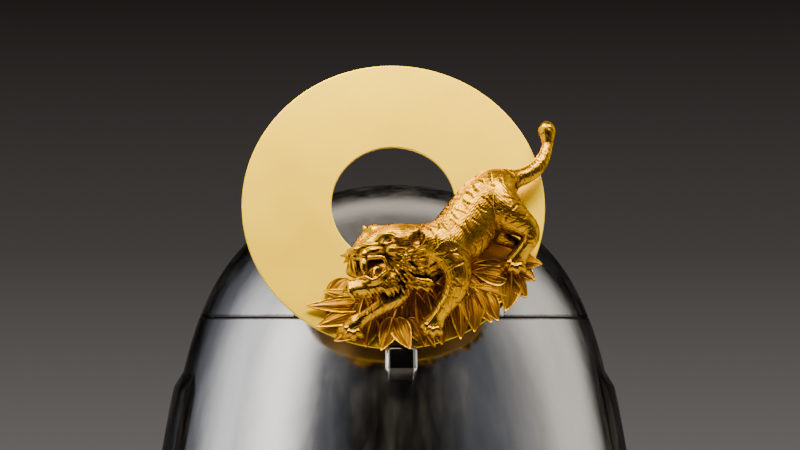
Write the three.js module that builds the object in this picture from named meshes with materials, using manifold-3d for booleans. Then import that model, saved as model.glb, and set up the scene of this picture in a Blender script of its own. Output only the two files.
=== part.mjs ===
// Kabuto helmet: a polished steel bowl of lapped plates, a crest post on its brow,
// and a gilt crest of a pierced disc with bamboo leaves and a crouching tiger.
// Millimetres, +Z up, the brow faces -Y, and the rim stands on Z = 0.
import * as THREE from 'three';
import { mergeVertices } from 'three/addons/utils/BufferGeometryUtils.js';
import Module from 'manifold-3d';

const wasm = await Module();
wasm.setup();

// ---------------------------------------------------------------- driving dimensions

const GAP = 0.3; // clearance between separate pieces
const CROWN_Z = 161.5; // top of the bowl
const SEAM_Z = 96; // level of the seam that runs round the bowl
const LENGTH_RATIO = 1.155; // the bowl's length over its width
const PLAN_POWER = 2.2; // superellipse power of the bowl's plan
const CROWN_SETBACK = 8; // how far the crown sits behind the middle of the rim
const ROUND_STEPS = 48; // facets round the bowl
const PLATE = 1.6; // steel plate thickness
const SHELL_FOCUS_Z = 60; // the upper shell's thickness is measured towards this level

const TOP_PLATE_HALF = 49; // half the width of the central top plate
const TOP_PLATE_PROUD = 0.8; // how far the top plate stands above its neighbours
const LAP = 5; // how far a lapped edge reaches under its neighbour
const LAP_THICK = 1.2;
const LAP_OVERLAP = 3; // how far a lap's strip runs on under its own plate
const LAP_STEP = -3; // the lower plate's lap, set in from its surface

const BAND_PROUD = 3; // waist band outside the bowl
const BAND_SHOULDER_Z = 61; // where the band's shoulder starts
const BAND_TOP_Z = 68.2;
const BAND_FRONT_STEPS = 3; // facets by which the band runs past the sides towards the brow

const CREST_LEAN = THREE.MathUtils.degToRad(19); // the disc leans back from the vertical
const CREST_X = -2.9; // the disc hangs slightly to one side of its tang
const CREST_Y = -103;
const CREST_Z = 148.3;
const DISC_RADIUS = 70.7;
const DISC_HOLE_RADIUS = 28.9;
const DISC_THICK = 1.2;
const DISC_STEPS = 36; // curve divisions, two facets each
const TANG_HALF = 4;
const TANG_DEPTH = 9; // the tang below the disc's lower edge
const TANG_ROOT = 3; // the tang above the disc's lower edge

const POST_WIDTH = 14.8;
const POST_FRONT = 4; // the post in front of the disc's face
const POST_DEPTH = 20; // from its front back into the bowl's wall, where it is cut to fit
const POST_TOP = -70; // in the crest's own upward axis
const POST_BOTTOM = -82.5;
const POST_CORNER = 2.4;
const POST_BEVEL = 1.6;
const SHANK_RADIUS = 2.5;
const SHANK_LEVEL = -76.6;
const SHANK_FROM = -4; // where the shank starts inside the post
const SHANK_HEAD_RADIUS = 4.5;
const SHANK_END = -14.8; // the shank's riveted head inside the bowl
const SHANK_HEAD_FROM = -13.2;

const STUD_RADIUS = 2; // studs that hold the castings to the disc
const STUD_HEAD_RADIUS = 3.5;
const STUD_HEAD_THICK = 1;

const BED_OUTER = 62; // radii and angles of the backing under the leaves
const BED_INNER = 44;
const BED_FROM = THREE.MathUtils.degToRad(-121);
const BED_TO = THREE.MathUtils.degToRad(-31);
const BED_THICK = 2;
const LEAF_CROWN = 0.9; // a leaf's ridge above its edges
const LEAF_TIP_THICK = 1.8;
const LEAF_ROOT_FLOOR = -1.5; // a leaf's root runs this far down before the bed cuts it

const BEYOND = 200; // outside the helmet in every direction

// ---------------------------------------------------------------- helpers

/** Rows of numbers as objects with the named columns. */
function table(columns, rows) {
  const names = columns.split(' ');
  return rows.map((row) => Object.fromEntries(names.map((name, i) => [name, row[i]])));
}

/** A closed solid from vertices [x, y, z] and triangles [a, b, c], faces turned outwards. */
function solidOf(points, triangles) {
  const geometry = new THREE.BufferGeometry();
  geometry.setAttribute('position', new THREE.Float32BufferAttribute(points.flat(), 3));
  geometry.setIndex(triangles.flat());
  return toSolid(geometry);
}

/** Signed volume of an indexed geometry. */
function signedVolume(geometry) {
  const p = geometry.attributes.position;
  const index = geometry.index.array;
  const a = new THREE.Vector3();
  const b = new THREE.Vector3();
  const c = new THREE.Vector3();
  let volume = 0;
  for (let i = 0; i < index.length; i += 3) {
    a.fromBufferAttribute(p, index[i]);
    b.fromBufferAttribute(p, index[i + 1]);
    c.fromBufferAttribute(p, index[i + 2]);
    volume += a.dot(b.cross(c)) / 6;
  }
  return volume;
}

/** A manifold solid from a closed three.js geometry. */
function toSolid(source) {
  const bare = source.clone();
  bare.deleteAttribute('normal');
  bare.deleteAttribute('uv');
  const merged = mergeVertices(bare, 1e-4);
  const triVerts = Uint32Array.from(merged.index.array);
  if (signedVolume(merged) < 0) {
    for (let i = 0; i < triVerts.length; i += 3) {
      const swap = triVerts[i + 1];
      triVerts[i + 1] = triVerts[i + 2];
      triVerts[i + 2] = swap;
    }
  }
  const vertProperties = Float32Array.from(merged.attributes.position.array);
  return new wasm.Manifold(new wasm.Mesh({ numProp: 3, vertProperties, triVerts }));
}

/** A three.js geometry from a manifold solid. */
function toGeometry(solid) {
  const mesh = solid.getMesh();
  const geometry = new THREE.BufferGeometry();
  geometry.setAttribute('position', new THREE.BufferAttribute(mesh.vertProperties, 3));
  geometry.setIndex(new THREE.BufferAttribute(mesh.triVerts, 1));
  geometry.computeVertexNormals();
  return geometry;
}

/** A box between two corners. */
function box(low, high) {
  const size = high.map((value, i) => value - low[i]);
  const geometry = new THREE.BoxGeometry(...size);
  geometry.translate(...low.map((value, i) => value + size[i] / 2));
  return toSolid(geometry);
}

/** A round pin along Z. */
function pin(x, y, radius, from, to, sides = 12) {
  const geometry = new THREE.CylinderGeometry(radius, radius, to - from, sides);
  geometry.rotateX(Math.PI / 2);
  geometry.translate(x, y, (from + to) / 2);
  return toSolid(geometry);
}

/** Joins closed rings of points into a solid; the ends are flat, or the last ring meets the first. */
function loftRings(rings, closed = false) {
  const sides = rings[0].length;
  const points = rings.flat();
  const triangles = [];
  const spans = closed ? rings.length : rings.length - 1;
  for (let i = 0; i < spans; i += 1) {
    const next = (i + 1) % rings.length;
    for (let j = 0; j < sides; j += 1) {
      const k = (j + 1) % sides;
      const a = i * sides + j;
      const b = i * sides + k;
      const c = next * sides + k;
      const d = next * sides + j;
      triangles.push([a, b, c], [a, c, d]);
    }
  }
  if (!closed) {
    capRing(rings[0], 0, triangles, true);
    capRing(rings.at(-1), (rings.length - 1) * sides, triangles, false);
  }
  return solidOf(points, triangles);
}

/** Fills an end ring with triangles, also where its outline is not convex. */
function capRing(ring, offset, triangles, reversed) {
  const origin = new THREE.Vector3(...ring[0]);
  const far = ring.reduce((best, point) => {
    const there = new THREE.Vector3(...point);
    return there.distanceTo(origin) > best.distanceTo(origin) ? there : best;
  }, origin);
  const along = far.clone().sub(origin).normalize();
  const normal = new THREE.Vector3();
  ring.forEach((point, i) => {
    const a = new THREE.Vector3(...point).sub(origin);
    const b = new THREE.Vector3(...ring[(i + 1) % ring.length]).sub(origin);
    normal.add(a.cross(b));
  });
  const across = normal.normalize().cross(along);
  const flat = ring.map((point) => {
    const arm = new THREE.Vector3(...point).sub(origin);
    return new THREE.Vector2(arm.dot(along), arm.dot(across));
  });
  THREE.ShapeUtils.triangulateShape(flat, []).forEach(([a, b, c]) => {
    triangles.push(reversed ? [offset + a, offset + c, offset + b] : [offset + a, offset + b, offset + c]);
  });
}

/** Joins a list of solids. */
function join(solids) {
  return solids.reduce((sum, solid) => sum.add(solid));
}

// ---------------------------------------------------------------- form of the bowl

/** Half-width of the bowl at a level: a round crown that straightens into flaring sides. */
function halfWidth(z) {
  const depth = Math.max(CROWN_Z - z, 0);
  return Math.sqrt(depth * (67 + 171 * Math.exp(-((depth / 79) ** 1.13))));
}

/** Middle of the bowl's plan at a level: the crown sits back from the brow. */
function middleY(z) {
  return CROWN_SETBACK * (Math.max(z, 0) / CROWN_Z) ** 2;
}

/** A point of the bowl at an azimuth (0 at +X, 90 degrees at the back) and level, moved outwards. */
function bowlPoint(azimuth, z, outwards = 0) {
  const cos = Math.cos(azimuth);
  const sin = Math.sin(azimuth);
  const alongX = Math.sign(cos) * Math.abs(cos) ** (2 / PLAN_POWER);
  const alongY = Math.sign(sin) * Math.abs(sin) ** (2 / PLAN_POWER);
  const half = halfWidth(z);
  const x = alongX * (half + outwards);
  const y = middleY(z) + alongY * (half * LENGTH_RATIO + outwards);
  return [x, y, z];
}

/** A wall round the bowl, its section a closed loop of { out, z }, between two facet counts. */
function bowlRing(section, first = 0, last = ROUND_STEPS) {
  const rings = [];
  const closed = last - first === ROUND_STEPS;
  const end = closed ? last - 1 : last;
  for (let i = first; i <= end; i += 1) {
    const azimuth = (i / ROUND_STEPS) * Math.PI * 2;
    rings.push(section.map((row) => bowlPoint(azimuth, row.z, row.out)));
  }
  return loftRings(rings, closed);
}

/** The bowl's upper shell between two distances from its surface, towards a point inside. */
function domeShell(outer, inner) {
  const levels = [160.3, 157.5, 152.8, 146, 137.5, 128, 117.5, 107, SEAM_Z, 86];
  const focus = new THREE.Vector3(0, middleY(SHELL_FOCUS_Z * 2), SHELL_FOCUS_Z);
  const points = [];
  const triangles = [];
  const pushOut = (point, distance) => {
    const p = new THREE.Vector3(...point);
    const arm = p.clone().sub(focus).normalize();
    return p.addScaledVector(arm, distance).toArray();
  };
  [outer, inner].forEach((distance) => {
    points.push(pushOut([0, middleY(CROWN_Z), CROWN_Z], distance));
    levels.forEach((z) => {
      for (let i = 0; i < ROUND_STEPS; i += 1) {
        points.push(pushOut(bowlPoint((i / ROUND_STEPS) * Math.PI * 2, z), distance));
      }
    });
  });
  const sheet = 1 + levels.length * ROUND_STEPS;
  const at = (side, level, i) => side * sheet + 1 + level * ROUND_STEPS + (i % ROUND_STEPS);
  for (let i = 0; i < ROUND_STEPS; i += 1) {
    triangles.push([0, at(0, 0, i), at(0, 0, i + 1)]);
    triangles.push([sheet, at(1, 0, i + 1), at(1, 0, i)]);
    for (let level = 0; level + 1 < levels.length; level += 1) {
      const a = at(0, level, i);
      const b = at(0, level + 1, i);
      const c = at(0, level + 1, i + 1);
      const d = at(0, level, i + 1);
      triangles.push([a, b, c], [a, c, d]);
      const e = at(1, level, i);
      const f = at(1, level + 1, i);
      const g = at(1, level + 1, i + 1);
      const h = at(1, level, i + 1);
      triangles.push([e, g, f], [e, h, g]);
    }
    const last = levels.length - 1;
    const p = at(0, last, i);
    const q = at(0, last, i + 1);
    const r = at(1, last, i);
    const s = at(1, last, i + 1);
    triangles.push([p, r, s], [p, s, q]);
  }
  return solidOf(points, triangles);
}

/** The space above the seam between two distances from the middle plane, on one side or both. */
function upperSpace(from, to) {
  return box([from, -BEYOND, SEAM_Z + GAP / 2], [to, BEYOND, BEYOND]);
}

// ---------------------------------------------------------------- bowl plates

const WALL_LEVELS = [0, 20, 40, BAND_SHOULDER_Z]; // levels of the lower wall's facets

function makeTopPlate() {
  const shell = domeShell(TOP_PLATE_PROUD, TOP_PLATE_PROUD - PLATE);
  return shell.intersect(upperSpace(-TOP_PLATE_HALF, TOP_PLATE_HALF));
}

/** One side of the upper bowl; its inner margin is stepped down to pass under the top plate. */
function makeSidePlate(side) {
  const edge = TOP_PLATE_HALF + GAP;
  const between = (a, b) => upperSpace(Math.min(side * a, side * b), Math.max(side * a, side * b));
  const plate = domeShell(0, -PLATE).intersect(between(edge, BEYOND));
  const lapOuter = TOP_PLATE_PROUD - PLATE - GAP;
  const strip = between(edge - LAP, edge + LAP_OVERLAP);
  return plate.add(domeShell(lapOuter, lapOuter - LAP_THICK).intersect(strip));
}

/** The ring below the seam; its top margin is stepped down behind the upper plates. */
function makeLowerPlate() {
  const top = SEAM_Z - GAP / 2;
  const lapInner = LAP_STEP - LAP_THICK;
  const section = [
    ...WALL_LEVELS.map((z) => ({ out: 0, z })),
    ...table('out z', [
      [0, BAND_TOP_Z],
      [0, 82],
      [0, top],
      [LAP_STEP, top],
      [LAP_STEP, top + LAP],
      [lapInner, top + LAP],
      [lapInner, top - LAP_OVERLAP],
      [-PLATE, top - 2 * LAP_OVERLAP],
    ]),
    ...WALL_LEVELS.toReversed().map((z) => ({ out: -PLATE, z })),
  ];
  return bowlRing(section).subtract(postShank(GAP, GAP));
}

/** The waist band round the sides and back, with a rounded shoulder along its top. */
function makeWaistBand() {
  const section = [
    ...WALL_LEVELS.map((z) => ({ out: BAND_PROUD, z })),
    ...table('out z', [
      [BAND_PROUD - 0.7, BAND_SHOULDER_Z + 3],
      [BAND_PROUD - 1.7, BAND_SHOULDER_Z + 5.5],
      [GAP + 0.4, BAND_TOP_Z],
      [GAP, BAND_TOP_Z],
    ]),
    ...WALL_LEVELS.toReversed().map((z) => ({ out: GAP, z })),
  ];
  return bowlRing(section, -BAND_FRONT_STEPS, ROUND_STEPS / 2 + BAND_FRONT_STEPS);
}

// ---------------------------------------------------------------- crest mounting

/** The crest's own frame: X across, Y up along the disc, Z out of its face. */
const crestFrame = new THREE.Matrix4()
  .makeRotationX(Math.PI / 2 - CREST_LEAN)
  .setPosition(CREST_X, CREST_Y, CREST_Z);

/** A solid moved by a matrix. */
function moved(solid, matrix) {
  const geometry = toGeometry(solid);
  geometry.applyMatrix4(matrix);
  return toSolid(geometry);
}

/** The post's riveted shank in the helmet's frame, widened for a hole by the clearances. */
function postShank(radial = 0, axial = 0) {
  const shank = pin(-CREST_X, SHANK_LEVEL, SHANK_RADIUS + radial, SHANK_END - axial, SHANK_FROM);
  return moved(shank, crestFrame);
}

/** The socket block on the brow that takes the crest's tang from above. */
function makePost() {
  const half = POST_WIDTH / 2;
  const shape = new THREE.Shape();
  shape.moveTo(-half + POST_CORNER, POST_BOTTOM);
  shape.absarc(half - POST_CORNER, POST_BOTTOM + POST_CORNER, POST_CORNER, -Math.PI / 2, 0);
  shape.lineTo(half, POST_TOP);
  shape.lineTo(-half, POST_TOP);
  shape.absarc(-half + POST_CORNER, POST_BOTTOM + POST_CORNER, POST_CORNER, Math.PI, Math.PI * 1.5);
  const depth = POST_DEPTH - POST_BEVEL;
  const geometry = new THREE.ExtrudeGeometry(shape, {
    depth,
    curveSegments: 4,
    bevelSegments: 2,
    bevelSize: POST_BEVEL,
    bevelOffset: -POST_BEVEL,
    bevelThickness: POST_BEVEL,
  });
  geometry.translate(-CREST_X, 0, POST_FRONT - POST_BEVEL - depth);
  const slotFront = GAP;
  const slotBack = -DISC_THICK - GAP;
  const left = -CREST_X - TANG_HALF - GAP;
  const right = -CREST_X + TANG_HALF + GAP;
  const tangEnd = -DISC_RADIUS - TANG_DEPTH;
  const tangSlot = box([left, tangEnd - GAP, slotBack], [right, 0, slotFront]);
  const rimSlot = box([-BEYOND, -DISC_RADIUS - GAP, slotBack], [BEYOND, 0, slotFront]);
  const block = toSolid(geometry).subtract(tangSlot).subtract(rimSlot);
  const bowlCut = bowlRing(table('out z', [
    [GAP, 40],
    [GAP, BAND_SHOULDER_Z],
    [GAP, BAND_TOP_Z],
    [GAP, 82],
    [GAP, SEAM_Z],
    [-POST_DEPTH, SEAM_Z],
    [-POST_DEPTH, 40],
  ]));
  const rivet = pin(-CREST_X, SHANK_LEVEL, SHANK_HEAD_RADIUS, SHANK_END, SHANK_HEAD_FROM, 16);
  return moved(block, crestFrame).subtract(bowlCut).add(postShank()).add(moved(rivet, crestFrame));
}

/** Places of the studs under each casting, in the crest's frame. */
const TIGER_STUDS = table('x y', [[38, -10], [47, 1]]);
const LEAF_STUDS = table('x y', [[-18, -52], [12, -56], [48, -40]]);

/** A stud from inside a casting through the disc, with its head behind. */
function stud(place, top) {
  const back = -DISC_THICK - GAP;
  const shank = pin(place.x, place.y, STUD_RADIUS, back - STUD_HEAD_THICK, top);
  return shank.add(pin(place.x, place.y, STUD_HEAD_RADIUS, back - STUD_HEAD_THICK, back));
}

/** The pierced disc with its tang. */
function makeDisc() {
  const shape = new THREE.Shape().absarc(0, 0, DISC_RADIUS, 0, Math.PI * 2);
  shape.holes.push(new THREE.Path().absarc(0, 0, DISC_HOLE_RADIUS, 0, Math.PI * 2, true));
  const geometry = new THREE.ExtrudeGeometry(shape, {
    depth: DISC_THICK,
    bevelEnabled: false,
    curveSegments: DISC_STEPS,
  });
  geometry.translate(0, 0, -DISC_THICK);
  const tangEnd = -DISC_RADIUS - TANG_DEPTH;
  const tangTop = -DISC_RADIUS + TANG_ROOT;
  const tang = box([-CREST_X - TANG_HALF, tangEnd, -DISC_THICK], [-CREST_X + TANG_HALF, tangTop, 0]);
  const drilled = [...TIGER_STUDS, ...LEAF_STUDS].map(({ x, y }) => {
    return pin(x, y, STUD_RADIUS + GAP, -DISC_THICK - 1, 1);
  });
  return toSolid(geometry).add(tang).subtract(join(drilled));
}

// ---------------------------------------------------------------- bamboo leaves

/** Each leaf from its base to its tip, with its width and the height of its ridge. */
const LEAVES = table('baseX baseY tipX tipY width baseRise tipRise', [
  [-11, -47.5, -33, -43.5, 6, 3.5, 3],
  [-10, -50, -41, -51, 7, 4.2, 3],
  [-11, -52.5, -36, -61, 8.5, 3.6, 2.6],
  [-12, -55, -28, -68, 9.5, 3, 2.4],
  [-10, -57, -13.5, -71, 7.5, 3, 2.6],
  [-17, -58, -14, -47, 8.5, 3.4, 4.6],
  [-1, -57, -6.5, -73.5, 7.5, 4.6, 5.2],
  [1, -57, 7, -73, 8, 4.4, 5.6],
  [1, -60, 9, -44.5, 11.5, 3.4, 4.2],
  [6, -57, 14, -71, 7, 3.6, 3],
  [10, -57, 18.5, -71, 7, 3.2, 2.8],
  [20, -55, 21.5, -70, 7.5, 3.6, 3],
  [29, -49, 30, -67.5, 7.5, 4.2, 3.4],
  [33, -62, 24, -53, 7.5, 3, 3.6],
  [35, -46, 36.5, -64, 8.5, 4.2, 3.4],
  [37, -45, 44.5, -59.5, 7.5, 4.6, 3.4],
  [42, -45, 47.5, -58.5, 7.5, 4, 3.2],
  [54, -34, 51, -54, 9, 4.6, 3.4],
  [54, -36, 61, -47, 7.5, 4, 3],
  [56, -32, 65, -38.5, 7, 3.6, 2.8],
  [53, -28.5, 68.5, -30.5, 7.5, 3.4, 2.8],
  [52, -38.5, 35.5, -34.5, 8, 4.4, 3.6],
  [50, -31, 36, -30.5, 6, 3, 3],
  [52, -46.5, 36, -42, 8, 3.6, 3.8],
]);

/** Half-width share of a leaf from base (0) to tip (1): swells early and ends in a point. */
function leafSpread(s) {
  return Math.sin(Math.PI * s ** 0.72) ** 0.8 * (1 - 0.25 * s);
}

/** One leaf with a raised midrib; the margin widens it all round for a clearance. */
function makeLeaf(leaf, margin) {
  const base = new THREE.Vector2(leaf.baseX, leaf.baseY);
  const tip = new THREE.Vector2(leaf.tipX, leaf.tipY);
  const along = tip.clone().sub(base);
  const across = new THREE.Vector2(-along.y, along.x).normalize();
  const stations = [0.02, 0.2, 0.45, 0.74, 0.985];
  const rings = stations.map((s) => {
    const half = (leaf.width / 2) * Math.max(leafSpread(s), 0.06) + margin;
    const ridge = THREE.MathUtils.lerp(leaf.baseRise, leaf.tipRise, s) + margin;
    const edge = ridge - LEAF_CROWN * leafSpread(s);
    const under = THREE.MathUtils.lerp(LEAF_ROOT_FLOOR, leaf.tipRise - LEAF_TIP_THICK, s);
    const floor = Math.max(GAP, under) - margin;
    const centre = base.clone().addScaledVector(along, s);
    const at = (side, height) => [centre.x + across.x * side, centre.y + across.y * side, height];
    return [at(-half, floor), at(half, floor), at(half, edge), at(0, ridge), at(-half, edge)];
  });
  return loftRings(rings);
}

/** The backing under the leaves: a sector of a ring, between two radii. */
function makeLeafBed(margin) {
  const shape = new THREE.Shape();
  shape.absarc(0, 0, BED_OUTER + margin, BED_FROM, BED_TO);
  shape.absarc(0, 0, BED_INNER - margin, BED_TO, BED_FROM, true);
  shape.closePath();
  const depth = BED_THICK + margin;
  const geometry = new THREE.ExtrudeGeometry(shape, { depth, bevelEnabled: false, curveSegments: 14 });
  geometry.translate(0, 0, GAP);
  return toSolid(geometry);
}

/** All leaves and their bed as one solid, widened by a margin. */
function leafMass(margin) {
  return join([makeLeafBed(margin), ...LEAVES.map((leaf) => makeLeaf(leaf, margin))]);
}

/** The leaves, cut clear of the post that their lowest tips hang over. */
function makeLeaves() {
  const reach = POST_WIDTH / 2 + GAP;
  const low = [-CREST_X - reach, -BEYOND, -POST_DEPTH];
  const post = box(low, [-CREST_X + reach, POST_TOP + GAP, POST_FRONT + GAP]);
  return join([leafMass(0).subtract(post), ...LEAF_STUDS.map((place) => stud(place, 2))]);
}

// ---------------------------------------------------------------- tiger

// Sections of each limb in the crest's frame: centre, half-width across the limb, half-depth.
const COLUMNS = 'x y rise wide deep';

const TIGER = {
  torso: table(COLUMNS, [
    [49, 2.8, 11, 9, 9],
    [44.5, -2, 13, 13, 11.5],
    [38.5, -9.2, 13.5, 14.5, 12],
    [33, -15.9, 14, 15.3, 12.3],
    [26.5, -21.3, 15, 13.5, 12.5],
    [19.5, -24.3, 16.5, 11, 12],
    [13, -25.6, 18, 8.5, 10.5],
    [6, -26.3, 19, 8, 9],
  ]),
  head: table(COLUMNS, [
    [8, -25.8, 19, 8, 9],
    [1, -25.7, 20, 8.8, 9.5],
    [-6, -26.4, 20.5, 8.2, 8.5],
    [-11, -28.9, 20.5, 6.6, 7],
    [-16, -31.4, 20.5, 4.2, 5.5],
    [-20, -32.9, 20.5, 2.8, 3.5],
  ]),
  jaw: table(COLUMNS, [
    [0, -37.5, 19.5, 6, 7],
    [-6, -41.7, 20, 3.6, 5.5],
    [-12, -44.9, 20.5, 3.2, 5],
    [-17, -45.9, 20.5, 2.4, 3.5],
  ]),
  ruff: table(COLUMNS, [
    [9, -30.5, 17, 8, 8],
    [5, -37.3, 16.5, 7, 7.5],
    [-1, -43.1, 16, 6, 7],
    [-8, -47.5, 17, 4.5, 5.5],
    [-14, -49.9, 18, 2.5, 3.5],
  ]),
  near_ear: table(COLUMNS, [
    [8.5, -27.8, 23, 4, 3],
    [11, -24.5, 26, 3, 2],
  ]),
  far_ear: table(COLUMNS, [
    [-7, -18.9, 15, 3, 3],
    [-13, -16.2, 13, 1.8, 1.6],
  ]),
  near_foreleg: table(COLUMNS, [
    [27, -32.5, 19.5, 8, 8.5],
    [28.5, -38.3, 19, 6.7, 7],
    [28.5, -43.3, 16.5, 6, 6],
    [24.5, -49.7, 13.5, 5, 5],
    [20.5, -55.2, 11, 4.2, 4.2],
    [17.8, -59.6, 9.5, 4.8, 4.2],
    [16, -63.3, 8.5, 4.6, 3.6],
  ]),
  far_foreleg: table(COLUMNS, [
    [12, -32, 13, 8, 8],
    [5, -40.8, 12.5, 5.5, 6],
    [-2, -49.3, 12.5, 4.2, 4.5],
    [-8, -55, 10.5, 3.2, 3.5],
    [-14, -59, 9, 3.1, 3.2],
    [-18.5, -62.1, 8, 4.6, 3.8],
    [-19.5, -65.8, 7.2, 4.3, 3.3],
  ]),
  near_hind_leg: table(COLUMNS, [
    [46, -1.8, 15, 10, 9],
    [51, -8, 15.5, 9, 8.5],
    [56.5, -14.3, 15, 7, 7],
    [61, -17.9, 14, 5, 5.5],
    [59.5, -23.1, 12, 4.3, 4.5],
    [57, -27.8, 10, 4.3, 4],
    [54.5, -31.8, 8.5, 5, 3.8],
    [53, -34.6, 8, 4.6, 3.3],
  ]),
  far_hind_leg: table(COLUMNS, [
    [43, -6.9, 7.5, 8, 6],
    [48, -14.5, 6.5, 5.5, 5],
    [54, -19.3, 6, 3.6, 3.8],
    [59, -24.1, 5.5, 3.2, 3.3],
    [60, -28.9, 5, 3.4, 3],
  ]),
  tail: table(COLUMNS, [
    [44, 7, 13, 6, 6],
    [50, 7.9, 12.5, 5, 5],
    [57, 8.8, 11.5, 4.5, 4.5],
    [62, 10.5, 10.5, 4.3, 4.3],
    [66.5, 13.7, 10, 3.9, 3.9],
    [70, 18.7, 9.5, 3.2, 3.2],
    [71.7, 23.5, 9, 2.8, 2.8],
    [72.1, 28, 9, 2.7, 2.7],
    [71.8, 33.5, 9, 4, 4],
    [71.6, 37, 9, 2.4, 2.4],
  ]),
};

/** A limb through its sections, with a rounded end on each side. */
function makeLimb(rows, sides = 10) {
  const centres = rows.map((row) => new THREE.Vector3(row.x, row.y, row.rise));
  const out = new THREE.Vector3(0, 0, 1);
  const tangentAt = (i) => {
    const before = centres[Math.max(i - 1, 0)];
    const after = centres[Math.min(i + 1, centres.length - 1)];
    return after.clone().sub(before).normalize();
  };
  const ring = (centre, tangent, wide, deep) => {
    const across = tangent.clone().cross(out).normalize();
    const up = across.clone().cross(tangent).normalize();
    const points = [];
    for (let j = 0; j < sides; j += 1) {
      const angle = (j / sides) * Math.PI * 2;
      const point = centre.clone();
      point.addScaledVector(across, wide * Math.cos(angle));
      point.addScaledVector(up, deep * Math.sin(angle));
      points.push(point.toArray());
    }
    return points;
  };
  const roundEnd = [
    { reach: 0.85, share: 0.45 },
    { reach: 0.5, share: 0.85 },
  ];
  const rings = [];
  const first = rows[0];
  const last = rows.at(-1);
  const start = tangentAt(0);
  const finish = tangentAt(rows.length - 1);
  roundEnd.forEach(({ reach, share }) => {
    const centre = centres[0].clone().addScaledVector(start, -first.wide * reach);
    rings.push(ring(centre, start, first.wide * share, first.deep * share));
  });
  rows.forEach((row, i) => rings.push(ring(centres[i], tangentAt(i), row.wide, row.deep)));
  [...roundEnd].reverse().forEach(({ reach, share }) => {
    const centre = centres.at(-1).clone().addScaledVector(finish, last.wide * reach);
    rings.push(ring(centre, finish, last.wide * share, last.deep * share));
  });
  return loftRings(rings);
}

/** The tiger: its limbs joined, clear of the leaves and the disc, with its studs. */
function makeTiger() {
  const body = join(Object.values(TIGER).map((rows) => makeLimb(rows)));
  const below = box([-BEYOND, -BEYOND, -BEYOND], [BEYOND, BEYOND, GAP]);
  const clear = body.subtract(below).subtract(leafMass(GAP));
  return join([clear, ...TIGER_STUDS.map((place) => stud(place, 8))]);
}

// ---------------------------------------------------------------- materials

const steel = () => new THREE.MeshStandardMaterial({ color: 0x9a9c9e, roughness: 0.24, metalness: 1 });
const blackGloss = () => new THREE.MeshStandardMaterial({ color: 0x0b0b0c, roughness: 0.12, metalness: 0.1 });
const paleGold = () => new THREE.MeshStandardMaterial({ color: 0xf2cf83, roughness: 0.38, metalness: 1 });
const deepGold = () => new THREE.MeshStandardMaterial({ color: 0xd99a1c, roughness: 0.26, metalness: 1 });
const oldGold = () => new THREE.MeshStandardMaterial({ color: 0xb9841f, roughness: 0.32, metalness: 1 });

// ---------------------------------------------------------------- assembly

const helmet = new THREE.Group();
const bowl = new THREE.Group();
const crest = new THREE.Group();
helmet.add(bowl, crest);
crest.applyMatrix4(crestFrame);

/** Adds a named piece to a group. */
function addPiece(group, name, solid, material) {
  const mesh = new THREE.Mesh(toGeometry(solid), material);
  mesh.name = name;
  group.add(mesh);
}

addPiece(bowl, 'lower_plate', makeLowerPlate(), steel());
addPiece(bowl, 'top_plate', makeTopPlate(), steel());
addPiece(bowl, 'side_plate_right', makeSidePlate(1), steel());
addPiece(bowl, 'side_plate_left', makeSidePlate(-1), steel());
addPiece(bowl, 'waist_band', makeWaistBand(), steel());
addPiece(bowl, 'crest_post', makePost(), blackGloss());
addPiece(crest, 'crest_disc', makeDisc(), paleGold());
addPiece(crest, 'bamboo_leaves', makeLeaves(), oldGold());
addPiece(crest, 'tiger', makeTiger(), deepGold());

const extent = new THREE.Box3().setFromObject(helmet, true);
const middle = extent.getCenter(new THREE.Vector3());
helmet.position.set(-middle.x, -middle.y, 0);
helmet.updateMatrixWorld(true);

export default helmet;
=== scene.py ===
"""A samurai helmet: polished steel bowl, black crest post and a gilt crest.

The bowl's plates, the crest disc, the bamboo leaves and the tiger are surfaces worked out
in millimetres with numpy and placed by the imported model's boxes. Every finished piece has
its object at the origin and its place in its mesh.
"""

import logging
import math
from dataclasses import dataclass, field
from enum import Enum

import bpy
import numpy as np
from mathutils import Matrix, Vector

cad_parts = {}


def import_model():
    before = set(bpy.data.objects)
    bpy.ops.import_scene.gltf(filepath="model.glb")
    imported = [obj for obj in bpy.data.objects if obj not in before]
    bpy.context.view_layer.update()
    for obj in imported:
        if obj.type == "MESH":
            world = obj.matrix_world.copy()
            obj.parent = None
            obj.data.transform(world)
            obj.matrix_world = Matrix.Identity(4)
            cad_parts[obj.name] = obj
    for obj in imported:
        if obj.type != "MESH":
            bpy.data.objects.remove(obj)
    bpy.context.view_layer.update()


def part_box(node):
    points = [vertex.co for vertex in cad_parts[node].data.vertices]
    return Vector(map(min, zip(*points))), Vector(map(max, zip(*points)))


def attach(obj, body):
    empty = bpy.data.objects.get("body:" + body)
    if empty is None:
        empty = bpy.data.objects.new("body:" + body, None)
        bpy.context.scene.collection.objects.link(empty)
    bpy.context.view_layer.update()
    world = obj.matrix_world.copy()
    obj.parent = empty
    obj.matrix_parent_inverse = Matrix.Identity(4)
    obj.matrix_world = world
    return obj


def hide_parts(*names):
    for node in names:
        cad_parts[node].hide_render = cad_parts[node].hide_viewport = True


LOG = logging.getLogger("helmet")
MM = 0.001  # metres in a millimetre
GAP = 0.3  # millimetres between separate pieces
LONG_SIDE = 1.2  # millimetres; an outline's side over this length is divided
BESIDE = 0.3  # millimetres from a rounded corner to the support point beside it
BODY = "root"
Array = np.ndarray
Piece = bpy.types.Object
Socket = bpy.types.NodeSocket
Tree = bpy.types.NodeTree


# ---- small tools


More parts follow.
